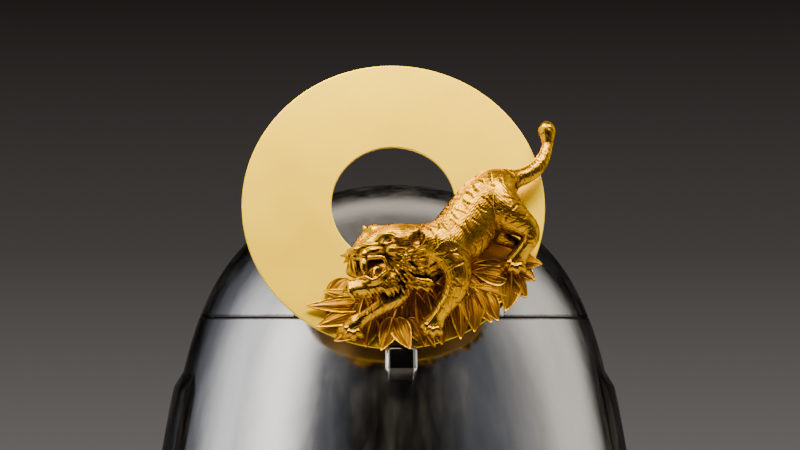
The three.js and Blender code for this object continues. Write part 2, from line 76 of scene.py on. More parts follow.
def linear(hex_colour: str) -> tuple[float, float, float, float]:
    """Turns an sRGB colour into the linear values that shaders take.

    Args:
        hex_colour: Six hexadecimal digits.

    Returns:
        Linear red, green and blue, and an alpha of 1.
    """
    parts = [int(hex_colour[i:i + 2], 16) / 255 for i in (0, 2, 4)]
    red, green, blue = (p / 12.92 if p <= 0.04045 else ((p + 0.055) / 1.055) ** 2.4 for p in parts)
    return (red, green, blue, 1.0)


def unit(vectors: Array) -> Array:
    """Scales each row of vectors to length one."""
    length = np.linalg.norm(vectors, axis=-1, keepdims=True)
    return vectors / np.maximum(length, 1e-9)


def smooth(low: float, high: float, value: Array) -> Array:
    """Rises smoothly from 0 at low to 1 at high, by the cubic 3t^2 - 2t^3."""
    t = np.clip((value - low) / (high - low), 0.0, 1.0)
    return t * t * (3.0 - 2.0 * t)


@dataclass
class Surface:
    """Vertices in millimetres with the quads and triangles that join them."""

    points: Array
    quads: Array = field(default_factory=lambda: np.zeros((0, 4), int))
    tris: Array = field(default_factory=lambda: np.zeros((0, 3), int))
    values: dict[str, Array] = field(default_factory=dict)

    @staticmethod
    def joined(parts: list["Surface"]) -> "Surface":
        """Puts several surfaces into one, keeping their shared vertex values.

        Args:
            parts: Surfaces that all carry the same names of values.

        Returns:
            One surface with every vertex and face.
        """
        counts = np.cumsum([0] + [len(part.points) for part in parts])
        quads = [part.quads + start for part, start in zip(parts, counts)]
        tris = [part.tris + start for part, start in zip(parts, counts)]
        names = parts[0].values.keys()
        values = {name: np.concatenate([part.values[name] for part in parts]) for name in names}
        points = np.concatenate([part.points for part in parts])
        return Surface(points, np.concatenate(quads), np.concatenate(tris), values)

    def to_object(self, name: str, sharp_deg: float = 40.0) -> Piece:
        """Makes a mesh object of the surface, smooth shaded with its folds kept sharp.

        Args:
            name: The object's name.
            sharp_deg: Faces that meet at more than this angle keep a hard edge.

        Returns:
            The new object, at the origin, in metres.
        """
        mesh = bpy.data.meshes.new(name)
        corners = np.concatenate([self.quads.ravel(), self.tris.ravel()]).astype(np.int32)
        sizes = np.concatenate([np.full(len(self.quads), 4), np.full(len(self.tris), 3)])
        starts = np.concatenate([[0], np.cumsum(sizes)[:-1]]).astype(np.int32)
        mesh.vertices.add(len(self.points))
        mesh.vertices.foreach_set("co", (self.points * MM).astype(np.float32).ravel())
        mesh.loops.add(len(corners))
        mesh.loops.foreach_set("vertex_index", corners)
        mesh.polygons.add(len(sizes))
        mesh.polygons.foreach_set("loop_start", starts)
        mesh.polygons.foreach_set("use_smooth", np.ones(len(sizes), bool))
        for key, data in self.values.items():
            kind, channel = ("FLOAT", "value") if data.ndim == 1 else ("FLOAT_VECTOR", "vector")
            slot = mesh.attributes.new(key, kind, "POINT")
            slot.data.foreach_set(channel, data.astype(np.float32).ravel())
        mesh.update(calc_edges=True)
        mesh.validate()
        mesh.set_sharp_from_angle(angle=math.radians(sharp_deg))
        piece = bpy.data.objects.new(name, mesh)
        bpy.context.scene.collection.objects.link(piece)
        return piece


def grid_quads(rows: int, cols: int, wrap_rows: bool = False, wrap_cols: bool = False) -> Array:
    """Quads of a grid of vertices stored row by row.

    Args:
        rows: Number of rows.
        cols: Number of vertices in a row.
        wrap_rows: Joins the last row to the first.
        wrap_cols: Joins the last column to the first.

    Returns:
        An array of four vertex numbers for each quad.
    """
    row_range = np.arange(rows if wrap_rows else rows - 1)
    col_range = np.arange(cols if wrap_cols else cols - 1)
    i, j = np.meshgrid(row_range, col_range, indexing="ij")
    down = (i + 1) % rows
    right = (j + 1) % cols
    quads = np.stack([i * cols + j, i * cols + right, down * cols + right, down * cols + j], -1)
    return quads.reshape(-1, 4)


def capped_tube(rings: Array, inside_out: bool = False) -> Surface:
    """A tube through a grid of rings, each end closed by a fan to a point of its own.

    Args:
        rings: Points by ring and place round it, three values each.
        inside_out: True to turn every face over.

    Returns:
        The tube; its last two points are the middles of its first and last rings.
    """
    rows, cols = rings.shape[:2]
    here = np.arange(cols)
    ahead = (here + 1) % cols
    last = (rows - 1) * cols
    first_fan = np.stack([ahead, here, np.full(cols, rows * cols)], -1)
    last_fan = np.stack([last + here, last + ahead, np.full(cols, rows * cols + 1)], -1)
    points = np.concatenate([rings.reshape(-1, 3), rings[[0, -1]].mean(1)])
    turn = -1 if inside_out else 1
    quads = grid_quads(rows, cols, wrap_cols=True)
    return Surface(points, quads[:, ::turn], np.concatenate([first_fan, last_fan])[:, ::turn])


def rounded_loop(corners: Array, radius: float, spacing: float, turns: int = 4) -> Array:
    """A closed outline with its corners rounded by arcs and its long sides divided.

    Each corner P is cut at the same distance along both sides, and a quadratic curve with
    P as its control point joins the cuts, which is close to an arc of the radius.

    Args:
        corners: Corner points in order, two values each.
        radius: Distance of the cuts from each corner, at most 0.45 of the shorter side.
        spacing: Longest stretch left undivided on a side.
        turns: Number of steps round each corner.

    Returns:
        The points of the outline; a long side has a point just beside each of its rounded
        corners, so that smooth shading stays within the corner.
    """
    t = np.linspace(0, 1, turns + 1)[:, None]
    out: list[Array] = []
    for before, here, after in zip(np.roll(corners, 1, 0), corners, np.roll(corners, -1, 0)):
        back, ahead = before - here, after - here
        ahead_cut = min(radius, 0.45 * np.linalg.norm(ahead))
        cut = min(ahead_cut, 0.45 * np.linalg.norm(back))
        start = here + unit(back) * cut
        end = here + unit(ahead) * cut
        out.append((1 - t) ** 2 * start + 2 * t * (1 - t) * here + t ** 2 * end)
        side = after - unit(ahead) * ahead_cut - end
        run = np.linalg.norm(side)
        if run > LONG_SIDE:
            beside = BESIDE / run
            share = np.linspace(beside, 1 - beside, 2 + int(run // spacing))[:, None]
            out.append(end + side * share)
    return np.concatenate(out)


def feed(tree: Tree, node: bpy.types.Node, links: dict) -> None:
    """Sets or joins a node's inputs.

    Args:
        tree: The node tree.
        node: The node.
        links: Input name or number to a value, or to an output socket to link.
    """
    for key, value in links.items():
        if isinstance(value, Socket):
            tree.links.new(value, node.inputs[key])
        else:
            node.inputs[key].default_value = value


def add_node(tree: Tree, kind: str, links: dict | None = None,
             out: int | str = 0, **settings) -> Socket:
    """Adds a shader node, sets it up and joins its inputs.

    Args:
        tree: The node tree.
        kind: The node's type name without the words ShaderNode.
        links: What feeds its inputs.
        out: The output to return, by name or number.
        **settings: Properties of the node itself.

    Returns:
        An output socket of the new node.
    """
    node = tree.nodes.new("ShaderNode" + kind)
    for key, value in settings.items():
        setattr(node, key, value)
    feed(tree, node, links or {})
    return node.outputs[out]


def set_stops(tone: Socket, stops: list[tuple[float, str]]) -> None:
    """Sets a colour ramp's stops.

    Args:
        tone: The ramp's colour socket.
        stops: Positions and sRGB colours, in rising order.
    """
    band = tone.node.color_ramp
    while len(band.elements) < len(stops):
        band.elements.new(0.5)
    for element, (position, colour) in zip(band.elements, stops):
        element.position = position
        element.color = linear(colour)


def dress(piece: Piece, material: bpy.types.Material, slot: str, *nodes: str) -> None:
    """Gives a finished piece its material and body, and hides the CAD nodes that it stands for.

    Args:
        piece: The finished piece.
        material: Its finish.
        slot: The name of its material slot; not used.
        *nodes: The CAD nodes that it replaces.
    """
    piece.data.materials.clear()
    piece.data.materials.append(material)
    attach(piece, BODY)
    if nodes:
        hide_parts(*nodes)
    LOG.info("%s: %d faces", piece.name, len(piece.data.polygons))


# ---- finishes


class Finish:
    """A named material; each finish says what feeds its principled shader."""

    name: str

    def surface(self, tree: Tree, place: Socket) -> dict:
        """Adds the nodes of the finish.

        Args:
            tree: The material's node tree.
            place: Object coordinates, on which the patterns are laid.

        Returns:
            What feeds the shader's inputs.
        """
        raise NotImplementedError

    def build(self) -> bpy.types.Material:
        """Makes the material."""
        material = bpy.data.materials.new(self.name)
        material.use_nodes = True
        tree = material.node_tree
        place = add_node(tree, "TexCoord", out="Object")
        feed(tree, tree.nodes["Principled BSDF"], self.surface(tree, place))
        return material


@dataclass(frozen=True)
class PolishedSteel(Finish):
    """Hand-polished forged steel plate, oiled.

    Polishing leaves a soft mirror: broad reflections with blurred edges, faint upright
    hairlines and the slow waves of the hammer under them.
    """

    name: str = "polished forged steel"
    colour: str = "c9cacb"
    dull_colour: str = "b4b2ae"
    # old polish and painted shade along the seam
    joint_polish_and_shade_colour: str = "65615e"
    roughness: float = 0.16
    roughness_spread: float = 0.1
    hairline_mm: float = 0.7  # drawn coarser than the real 0.1 mm lines so that they show
    hairline_depth_mm: float = 0.014
    hairline_lay: tuple[float, float, float] = (1.0, 1.0, 0.06)  # drawn out upwards
    hammer_mm: float = 26.0
    hammer_depth_mm: float = 0.25
    wear_mm: float = 11.0
    joint_level_mm: float = 0.0  # height of the joint, darkened by old polish and painted shade
    joint_clear_mm: float = 0.5  # darkened this far from it, fading out to the reach
    joint_reach_mm: float = 1.7
    joint_wander_mm: float = 1.6

    def surface(self, tree: Tree, place: Socket) -> dict:
        """Hairlines and hammer waves as bumps, uneven wear, and old polish with painted shade along the
        joint.
        """
        lay_map = add_node(tree, "Mapping", {"Vector": place, "Scale": self.hairline_lay})
        hair = add_node(tree, "TexNoise", {
            "Vector": lay_map, "Scale": 1 / (self.hairline_mm * MM), "Detail": 3.0,
        })
        hammer = add_node(tree, "TexNoise", {
            "Vector": place, "Scale": 1 / (self.hammer_mm * MM), "Detail": 2.0,
        })
        wear = add_node(tree, "TexNoise", {
            "Vector": lay_map, "Scale": 1 / (self.wear_mm * MM), "Detail": 5.0, "Roughness": 0.65,
        })
        tint = add_node(tree, "Mix", {
            0: wear, 6: linear(self.dull_colour), 7: linear(self.colour),
        }, out=2, data_type="RGBA")
        rough = add_node(tree, "MapRange", {
            "Value": wear, "From Min": 0.3, "From Max": 0.75,
            "To Min": self.roughness - self.roughness_spread / 2,
            "To Max": self.roughness + self.roughness_spread,
        })
        level = add_node(tree, "SeparateXYZ", {0: place}, out=2)
        uneven = add_node(tree, "Math", {
            0: wear, 1: self.joint_wander_mm * MM, 2: level,
        }, operation="MULTIPLY_ADD")
        middle = (self.joint_level_mm + self.joint_wander_mm / 2) * MM
        away = add_node(tree, "Math", {0: uneven, 1: middle}, operation="SUBTRACT")
        reach = add_node(tree, "Math", {0: away}, operation="ABSOLUTE")
        joint_fade = add_node(tree, "MapRange", {
            "Value": reach,
            "From Min": self.joint_clear_mm * MM, "From Max": self.joint_reach_mm * MM,
        }, interpolation_type="SMOOTHSTEP")
        # Painted shade: near the joint the steel takes the darker joint colour, which stands for old polish
        # and the shade of the gap together.
        soiled_and_shaded = add_node(tree, "Mix", {
            0: joint_fade, 6: linear(self.joint_polish_and_shade_colour), 7: tint,
        }, out=2, data_type="RGBA")
        waves = add_node(tree, "Bump", {
            "Height": hammer, "Strength": 1.0, "Distance": self.hammer_depth_mm * MM,
        })
        lines = add_node(tree, "Bump", {
            "Height": hair, "Strength": 0.6, "Distance": self.hairline_depth_mm * MM,
            "Normal": waves,
        })
        return {
            "Base Color": soiled_and_shaded, "Roughness": rough,
            "Normal": lines, "Metallic": 1.0,
        }


@dataclass(frozen=True)
class BlackLacquer(Finish):
    """Black gloss lacquer over steel, brushed out in thin coats: a deep even gloss.

    The mesh carries a value named worn, 1 where the lacquer is rubbed through to bright steel.
    """

    name: str = "black gloss lacquer"
    colour: str = "050506"
    steel: str = "d4d5d6"
    roughness: float = 0.12
    peel_mm: float = 1.6
    peel_depth_mm: float = 0.02

    def surface(self, tree: Tree, place: Socket) -> dict:
        """Gloss with a faint orange-peel, rubbed through to steel where worn."""
        peel = add_node(tree, "TexNoise", {
            "Vector": place, "Scale": 1 / (self.peel_mm * MM), "Detail": 2.0,
        })
        rough = add_node(tree, "MapRange", {
            "Value": peel, "To Min": self.roughness - 0.03, "To Max": self.roughness + 0.06,
        })
        bump = add_node(tree, "Bump", {
            "Height": peel, "Strength": 0.4, "Distance": self.peel_depth_mm * MM,
        })
        worn = add_node(tree, "Attribute", out="Fac", attribute_name="worn")
        tint = add_node(tree, "Mix", {
            0: worn, 6: linear(self.colour), 7: linear(self.steel),
        }, out=2, data_type="RGBA")
        return {
            "Base Color": tint, "Metallic": worn,
            "Roughness": rough, "Normal": bump,
        }


@dataclass(frozen=True)
class SatinGilt(Finish):
    """Pale gilding on rubbed sheet brass: a soft, even satin that spreads its reflections.

    The mesh carries a value named back, 1 where the sheet was left ungilt and has tarnished.
    """

    name: str = "satin gilt sheet"
    colour: str = "ffdc04"
    warm_colour: str = "ffd400"
    back_colour: str = "b88c4c"
    roughness: float = 0.4
    roughness_spread: float = 0.03
    cloud_mm: float = 34.0
    grain_mm: float = 0.5
    grain_depth_mm: float = 0.01

    def surface(self, tree: Tree, place: Socket) -> dict:
        """A slow change of tone over a fine grain, with the tarnished back."""
        cloud = add_node(tree, "TexNoise", {
            "Vector": place, "Scale": 1 / (self.cloud_mm * MM), "Detail": 3.0,
        })
        grain = add_node(tree, "TexNoise", {
            "Vector": place, "Scale": 1 / (self.grain_mm * MM), "Detail": 2.0,
        })
        tint = add_node(tree, "Mix", {
            0: cloud, 6: linear(self.warm_colour), 7: linear(self.colour),
        }, out=2, data_type="RGBA")
        back = add_node(tree, "Attribute", out="Fac", attribute_name="back")
        sides = add_node(tree, "Mix", {
            0: back, 6: tint, 7: linear(self.back_colour),
        }, out=2, data_type="RGBA")
        rough = add_node(tree, "MapRange", {
            "Value": cloud, "From Min": 0.3, "From Max": 0.7,
            "To Min": self.roughness - self.roughness_spread,
            "To Max": self.roughness + self.roughness_spread,
        })
        bump = add_node(tree, "Bump", {
            "Height": grain, "Strength": 0.25, "Distance": self.grain_depth_mm * MM,
        })
        return {
            "Base Color": sides, "Roughness": rough,
            "Normal": bump, "Metallic": 1.0,
        }


@dataclass(frozen=True)
class ChasedGilt(Finish):
    """Gilt cast and chased brass: burnished high places, and a dark patina with painted shade in the cuts
    and hollows.

    The mesh carries a value named recess, 0 on the high places to 1 deep in the cuts, as patina and
    painted shade, and a vector named flow, in millimetres along and across the chased hair or veins.
    """

    name: str = "chased gilt casting"
    bright: str = "d2a808"
    middle: str = "b68004"
    dark: str = "140901"
    edge_tint: str = "fff6a8"  # gold keeps its colour at grazing angles
    roughness: float = 0.18
    dull_roughness: float = 0.55
    hair_mm: float = 0.7  # spacing of the chased lines
    hair_depth_mm: float = 0.12
    dirt_mm: float = 3.5
    dirt_share: float = 0.35

    def surface(self, tree: Tree, place: Socket) -> dict:
        """A ramp from burnished to dark by recess (patina and painted shade), soiling and the chased lines.
        """
        recess = add_node(tree, "Attribute", out="Fac", attribute_name="recess")
        flow = add_node(tree, "Attribute", out="Vector", attribute_name="flow")
        strands = add_node(tree, "Mapping", {"Vector": flow, "Scale": (0.12, 1.0, 1.0)})
        hair = add_node(tree, "TexNoise", {
            "Vector": strands, "Scale": 1 / self.hair_mm, "Detail": 2.0, "Roughness": 0.6,
        })
        cloud = add_node(tree, "TexNoise", {
            "Vector": place, "Scale": 1 / (self.dirt_mm * MM), "Detail": 3.0,
        })
        dirt = add_node(tree, "Math", {0: cloud, 1: 0.5}, operation="SUBTRACT")
        faint = add_node(tree, "Math", {0: dirt, 1: self.dirt_share}, operation="MULTIPLY")
        soiled_and_shaded = add_node(tree, "Math", {0: recess, 1: faint}, operation="ADD")
        lines = add_node(tree, "MapRange", {
            "Value": hair, "From Min": 0.35, "From Max": 0.65, "To Min": 0.22, "To Max": -0.08,
        })
        depth = add_node(tree, "Math", {0: soiled_and_shaded, 1: lines}, operation="ADD")
        # Painted shade: the recess, patina and shade together, darkens the ramp towards its dark stop.
        colour = add_node(tree, "ValToRGB", {"Fac": depth})
        set_stops(colour, [(0.0, self.bright), (0.35, self.middle), (0.95, self.dark)])
        rough = add_node(tree, "MapRange", {
            "Value": depth, "From Min": 0.1, "From Max": 0.9,
            "To Min": self.roughness, "To Max": self.dull_roughness,
        })
        bump = add_node(tree, "Bump", {
            "Height": hair, "Strength": 1.0, "Distance": self.hair_depth_mm * MM,
        })
        return {
            "Base Color": colour, "Roughness": rough, "Normal": bump,
            "Metallic": 1.0, "Specular Tint": linear(self.edge_tint),
        }


@dataclass(frozen=True)
class StudioFloor(Finish):
    """Matt pale paper under the helmet: an even tone with a faint tooth."""

    name: str = "pale studio paper"
    colour: str = "d9d7d3"
    roughness: float = 0.85
    tooth_mm: float = 2.0
    tooth_depth_mm: float = 0.05

    def surface(self, tree: Tree, place: Socket) -> dict:
        """An even tone over the paper's tooth."""
        tooth = add_node(tree, "TexNoise", {"Vector": place, "Scale": 1 / (self.tooth_mm * MM)})
        bump = add_node(tree, "Bump", {
            "Height": tooth, "Strength": 0.2, "Distance": self.tooth_depth_mm * MM,
        })
        return {
            "Base Color": linear(self.colour), "Roughness": self.roughness, "Normal": bump,
        }


# ---- bowl


@dataclass
class BowlForm:
    """The smooth form that all the bowl's plates share, in millimetres.

    Level by level the plan is a superellipse. Its half-width R grows with the depth h under
    the crown as R^2 = h (wall + cap exp(-(h / fade)^p)), and its middle moves back with the
    level squared.
    """

    crown: float = 161.5
    seam: float = 96.0
    wall_growth: float = 67.0
    cap_growth: float = 171.0  # more of it, close under the crown
    cap_fade: float = 79.0
    cap_power: float = 1.13
    length_ratio: float = 1.155
    power: float = 2.2
    setback: float = 8.0
    shift: float = 0.0  # the rim's middle in the frame
    beyond: float = 260.0  # a distance that leaves the form from anywhere inside

    def half_width(self, z: Array) -> Array:
        """Half the bowl's width at each level."""
        depth = np.maximum(self.crown - z, 0.0)
        fade = np.exp(-((depth / self.cap_fade) ** self.cap_power))
        return np.sqrt(depth * (self.wall_growth + self.cap_growth * fade))

    def middle(self, z: Array) -> Array:
        """The Y of the plan's middle at each level."""
        return self.shift + self.setback * (np.maximum(z, 0.0) / self.crown) ** 2

    def point(self, azimuth: Array, z: Array, outwards: Array | float = 0.0) -> Array:
        """Points of the wall, moved level outwards.

        Args:
            azimuth: Radians from +X towards the back.
            z: Levels.
            outwards: Distance from the form's surface.

        Returns:
            An array of points, one more axis than the inputs.
        """
        cos, sin = np.cos(azimuth), np.sin(azimuth)
        along_x = np.sign(cos) * np.abs(cos) ** (2 / self.power)
        along_y = np.sign(sin) * np.abs(sin) ** (2 / self.power)
        half = self.half_width(z)
        x = along_x * (half + outwards)
        y = self.middle(z) + along_y * (half * self.length_ratio + outwards)
        return np.stack(np.broadcast_arrays(x, y, z), -1)

    def outside(self, p: Array) -> Array:
        """Positive outside the form and negative inside: the superellipse sum less one."""
        half = np.maximum(self.half_width(p[..., 2]), 1e-6)
        across = np.abs(p[..., 0]) / half
        along = np.abs(p[..., 1] - self.middle(p[..., 2])) / (half * self.length_ratio)
        value = across ** self.power + along ** self.power - 1.0
        return np.where(p[..., 2] > self.crown, 1.0, value)

    def meet(self, origin: Array, direction: Array) -> Array:
        """Where rays from inside leave the form, found by halving an interval forty times.

        Args:
            origin: Ray starts inside the form.
            direction: Unit directions.

        Returns:
            The points on the surface.
        """
        low = np.zeros(direction.shape[:-1])
        high = np.full(direction.shape[:-1], self.beyond)
        for _ in range(40):
            mid = (low + high) / 2
            out = self.outside(origin + direction * mid[..., None]) > 0
            high = np.where(out, mid, high)
            low = np.where(out, low, mid)
        return origin + direction * high[..., None]

    def normal(self, p: Array) -> Array:
        """Outward unit normals, from central differences of the outside function."""
        step = 0.05
        parts = []
        for axis in range(3):
            offset = np.zeros(3)
            offset[axis] = step
            parts.append(self.outside(p + offset) - self.outside(p - offset))
        return unit(np.stack(parts, -1))


class Side(Enum):
    """A side of the helmet as seen when facing the brow: the sign of X there."""

    RIGHT = 1
    LEFT = -1


@dataclass
class Bowl:
    """The bowl's five plates: lower ring, top, two sides and the waist band."""

    form: BowlForm
    plate: float = 1.6
    gap: float = 0.3
    top_half: float = 49.0
    top_proud: float = 0.8
    bevel: float = 2.0  # width of the top plate's filed bevel
    edge_round: float = 0.7
    seam_round: float = 0.3
    section_spacing: float = 1.8
    lap: float = 5.0
    lap_thick: float = 1.2
    lap_out: float = -3.0
    lap_base: float = 3.0  # below the seam, from where the margin thickens
    lap_foot: float = 6.0  # below the seam, where it ends in the plate's inner face
    band_proud: float = 3.0
    band_shoulder: float = 61.0
    band_top: float = 68.2
    band_front_deg: float = 22.5
    band_drop: float = 1.0  # below the shoulder's level, where its curve starts

    @property
    def base_z(self) -> float:
        """The level of the upper plates' lower edges."""
        return self.form.seam + self.gap / 2

    def ring(self, section: Array, first_deg: float, last_deg: float, steps: int) -> Surface:
        """Carries a closed section of (outwards, level) round the bowl.

        Args:
            section: The section's points.
            first_deg: Azimuth where the ring starts.
            last_deg: Azimuth where it ends; 360 degrees on closes it.
            steps: Number of steps round.

        Returns:
            The closed ring, or a bar with flat ends.
        """
        closed = last_deg - first_deg >= 360
        azimuth = np.radians(np.linspace(first_deg, last_deg, steps + 1))
        if closed:
            azimuth = azimuth[:-1]
        points = self.form.point(azimuth[:, None], section[None, :, 1], section[None, :, 0])
        rows, cols = points.shape[:2]
        quads = grid_quads(rows, cols, wrap_rows=closed, wrap_cols=True)
        return Surface(points.reshape(-1, 3), quads[:, ::-1])

    def lower_plate(self) -> Piece:
        """The ring under the seam, its top margin stepped in behind the upper plates."""
        seam = self.form.seam - self.gap / 2
        top = seam - 0.1  # the seam's soft corner takes the last tenth
        inner = self.lap_out - self.lap_thick
        corners = np.array([
            [0.0, 0.0], [0.0, seam - 0.6], [-0.3, top], [self.lap_out, top], [self.lap_out, seam + self.lap],
            [inner, seam + self.lap], [inner, seam - self.lap_base],
            [-self.plate, seam - self.lap_foot], [-self.plate, 0.0],
        ])
        section = rounded_loop(corners, self.seam_round, self.section_spacing)
        return self.ring(section, 0, 360, 288).to_object("lower_plate_steel")

    def waist_band(self) -> Piece:
        """The band round the sides and back, with a rounded shoulder and square front ends.

        The shoulder runs in from the band's face as (1/2 + 1/2 cos(pi t))^0.8 while it rises.
        """
        inner = self.gap
        tip = inner + 0.3  # how far the band still stands out at its top
        start = self.band_shoulder - self.band_drop
        t = np.linspace(0, 1, 9)
        curve_out = tip + (self.band_proud - tip) * (0.5 + 0.5 * np.cos(np.pi * t)) ** 0.8
        curve_z = start + (self.band_top - start) * t
        corners = np.concatenate([
            [[self.band_proud, 0.0]], np.stack([curve_out, curve_z], -1),
            [[inner, self.band_top]], [[inner, 0.0]],
        ])
        section = rounded_loop(corners, self.edge_round, self.section_spacing, turns=3)
        bar = self.ring(section, -self.band_front_deg, 180 + self.band_front_deg, 200)
        cols = len(section)
        last = len(bar.points) - cols
        split = int(np.argmax(section[:, 1] - 0.2 * section[:, 0]))
        first_end = self.cap(bar.points[:cols, 2], split)
        last_end = self.cap(bar.points[last:, 2], split)
        bar.tris = np.concatenate([first_end, last_end[:, ::-1] + last])
        piece = bar.to_object("waist_band_steel")
        self.file_edges(piece, "filed ends", 0.4, 2, 60)
        return piece

    @staticmethod
    def cap(levels: Array, split: int) -> Array:
        """Closes an end by joining its outer and inner sides, level with level.

        Both sides run up from the outline's first point. Their points are taken together in
        order of level, and each makes a triangle with the points then reached on both sides.

        Args:
            levels: The level of each point of the end's outline.
            split: Where the outer side ends and the inner side starts.

        Returns:
            Triangles over the end.
        """
        count = len(levels)
        outer = np.arange(split + 1)
        inner = np.arange(count, split, -1) % count
        order = np.argsort(np.concatenate([levels[outer[1:]], levels[inner[1:]]]), kind="stable")
        on_outer = order < split
        i = np.cumsum(on_outer) - on_outer
        j = np.cumsum(~on_outer) - ~on_outer
        next_inner = inner[np.minimum(j + 1, len(inner) - 1)]
        reached = np.where(on_outer, outer[np.minimum(i + 1, split)], next_inner)
        triangles = np.stack([outer[i], reached, inner[j]], -1)
        flat = (triangles == np.roll(triangles, 1, axis=1)).any(axis=1)
        return triangles[~flat]

    @staticmethod
    def file_edges(piece: Piece, name: str, width: float, segments: int, angle_deg: float) -> None:
        """Rounds a plate's sharp edges.

        Args:
            piece: The plate.
            name: The modifier's name.
            width: Width of the rounding.
            segments: Steps across it.
            angle_deg: Edges that fold by more than this are rounded.
        """
        bevel = piece.modifiers.new(name, "BEVEL")
        bevel.width = width * MM
        bevel.segments = segments
        bevel.limit_method = "ANGLE"
        bevel.angle_limit = math.radians(angle_deg)

    def shell(self, outer: Array, name: str, thickness: float, poles: bool) -> Piece:
        """Thickens a grid of outer points inwards and rounds its edges.

        Args:
            outer: Grid of points on the outer side.
            name: The object's name.
            thickness: Plate thickness.
            poles: True where the grid's last row is one point.

        Returns:
            The plate with its finishing modifiers.
        """
        rows, cols = outer.shape[:2]
        quads = grid_quads(rows, cols)
        points = outer.reshape(-1, 3)
        tris = np.zeros((0, 3), int)
        if poles:
            pole = (rows - 1) * cols
            fan = quads[-(cols - 1):]
            tris = np.stack([fan[:, 0], fan[:, 1], np.full(cols - 1, pole)], -1)
            quads = quads[:-(cols - 1)]
            points = points[:pole + 1]
        face = quads[len(quads) // 2]
        turn = np.cross(points[face[1]] - points[face[0]], points[face[3]] - points[face[0]])
        if np.dot(turn, self.form.normal(points[face[0]])) < 0:
            quads, tris = quads[:, ::-1], tris[:, ::-1]
        piece = Surface(points, quads, tris).to_object(name)
        wall = piece.modifiers.new("plate", "SOLIDIFY")
        wall.thickness = thickness * MM
        wall.offset = -1.0
        wall.use_quality_normals = True
        self.file_edges(piece, "filed edges", self.edge_round, 3, 50)
        return piece

    def arch(self, x: Array, steps: int) -> tuple[Array, Array]:
        """Upright sections of the form above the seam, front to back, with their normals.

        In each section rays leave its middle at the seam's level at even angles, from
        straight ahead over the crown to straight back.

        Args:
            x: Where the sections stand.
            steps: Rays in a section.

        Returns:
            The points by ray and section, and the normals, which are kept level at both ends
            so that the plates' lower edges stay level.
        """
        theta = np.linspace(0, np.pi, steps)
        origin = np.stack(np.broadcast_arrays(x[None, :], self.form.middle(self.base_z), self.base_z), -1)
        rays = np.stack(np.broadcast_arrays(0.0, -np.cos(theta)[:, None], np.sin(theta)[:, None]), -1)
        points = self.form.meet(origin, np.broadcast_to(rays, (steps, len(x), 3)))
        normals = self.form.normal(points)
        normals[[0, -1], :, 2] = 0.0
        return points, normals

    def top_plate(self) -> Piece:
        """The central plate, slightly proud, with a filed bevel along both long edges."""
        half = self.top_half
        filed = self.bevel + 0.6  # the bevel and the first of the flat beside it
        inner = np.linspace(-half + filed, half - filed, 90)
        edge = half - filed + filed * np.linspace(0, 1, 9)[1:]
        x = np.concatenate([-edge[::-1], inner, edge])
        points, normals = self.arch(x, 260)
        drop = smooth(half - self.bevel - 0.5, half, np.abs(x)) * (self.top_proud - 0.12)
        lift = (self.top_proud - drop)[None, :, None] * normals
        return self.shell(points + lift, "top_plate_steel", self.plate, poles=False)

    def side_plate(self, side: Side) -> Piece:
        """One side of the upper bowl, as a fan of rays about the X direction.

        Args:
            side: Which side.

        Returns:
            The plate.
        """
        start_x = self.top_half + self.gap
        origin = np.array([side.value * start_x, float(self.form.middle(self.base_z)), self.base_z])
        theta = np.linspace(0, np.pi, 200)
        psi = np.linspace(np.pi / 2, 0, 110)
        direction = np.stack(np.broadcast_arrays(
            side.value * np.cos(psi)[:, None],
            -np.sin(psi)[:, None] * np.cos(theta)[None, :],
            np.sin(psi)[:, None] * np.sin(theta)[None, :],
        ), -1)
        outer = self.form.meet(origin, direction)
        return self.shell(outer, f"side_plate_{side.name.lower()}_steel", self.plate, poles=True)

    def lap_strip(self, side: Side) -> Piece:
        """The side plate's margin that passes under the top plate.

        Args:
            side: Which side.

        Returns:
            The strip, touching the side plate's inner face.
        """
        start_x = self.top_half + self.gap
        x = side.value * np.linspace(start_x - self.lap, start_x + 3, 10)
        points, normals = self.arch(x, 160)
        sink = (self.top_proud - self.plate - self.gap) * normals
        return self.shell(points + sink, f"side_lap_{side.name.lower()}_steel", self.lap_thick, poles=False)

    def build(self) -> None:
        """Makes and dresses all the plates."""
        steel = PolishedSteel(joint_level_mm=self.form.seam).build()
        slot = "polished_steel"
        dress(self.lower_plate(), steel, slot, "lower_plate")
        dress(self.waist_band(), steel, slot, "waist_band")
        dress(self.top_plate(), steel, slot, "top_plate")
        for side in Side:
            dress(self.side_plate(side), steel, slot, f"side_plate_{side.name.lower()}")
        for side in Side:
            dress(self.lap_strip(side), steel, slot)


# ---- crest frame


@dataclass
class CrestFrame:
    """The crest's own frame: X across, Y up along the disc, Z out of its face."""

    centre: Array
    lean_deg: float = 19.0

    def to_helmet(self, local: Array) -> Array:
        """Turns crest coordinates into the helmet's frame.

        The frame leans back: its Y axis is (0, sin lean, cos lean) and its Z axis, out of
        the disc's face, is (0, -cos lean, sin lean).

        Args:
            local: Points in the crest's frame.

        Returns:
            The same points in the helmet's frame.
        """
        lean = math.radians(self.lean_deg)
        up = np.array([0.0, math.sin(lean), math.cos(lean)])
        out = np.array([0.0, -math.cos(lean), math.sin(lean)])
        across = np.array([1.0, 0.0, 0.0])
        x, y, z = local[..., 0:1], local[..., 1:2], local[..., 2:3]
        return self.centre + x * across + y * up + z * out


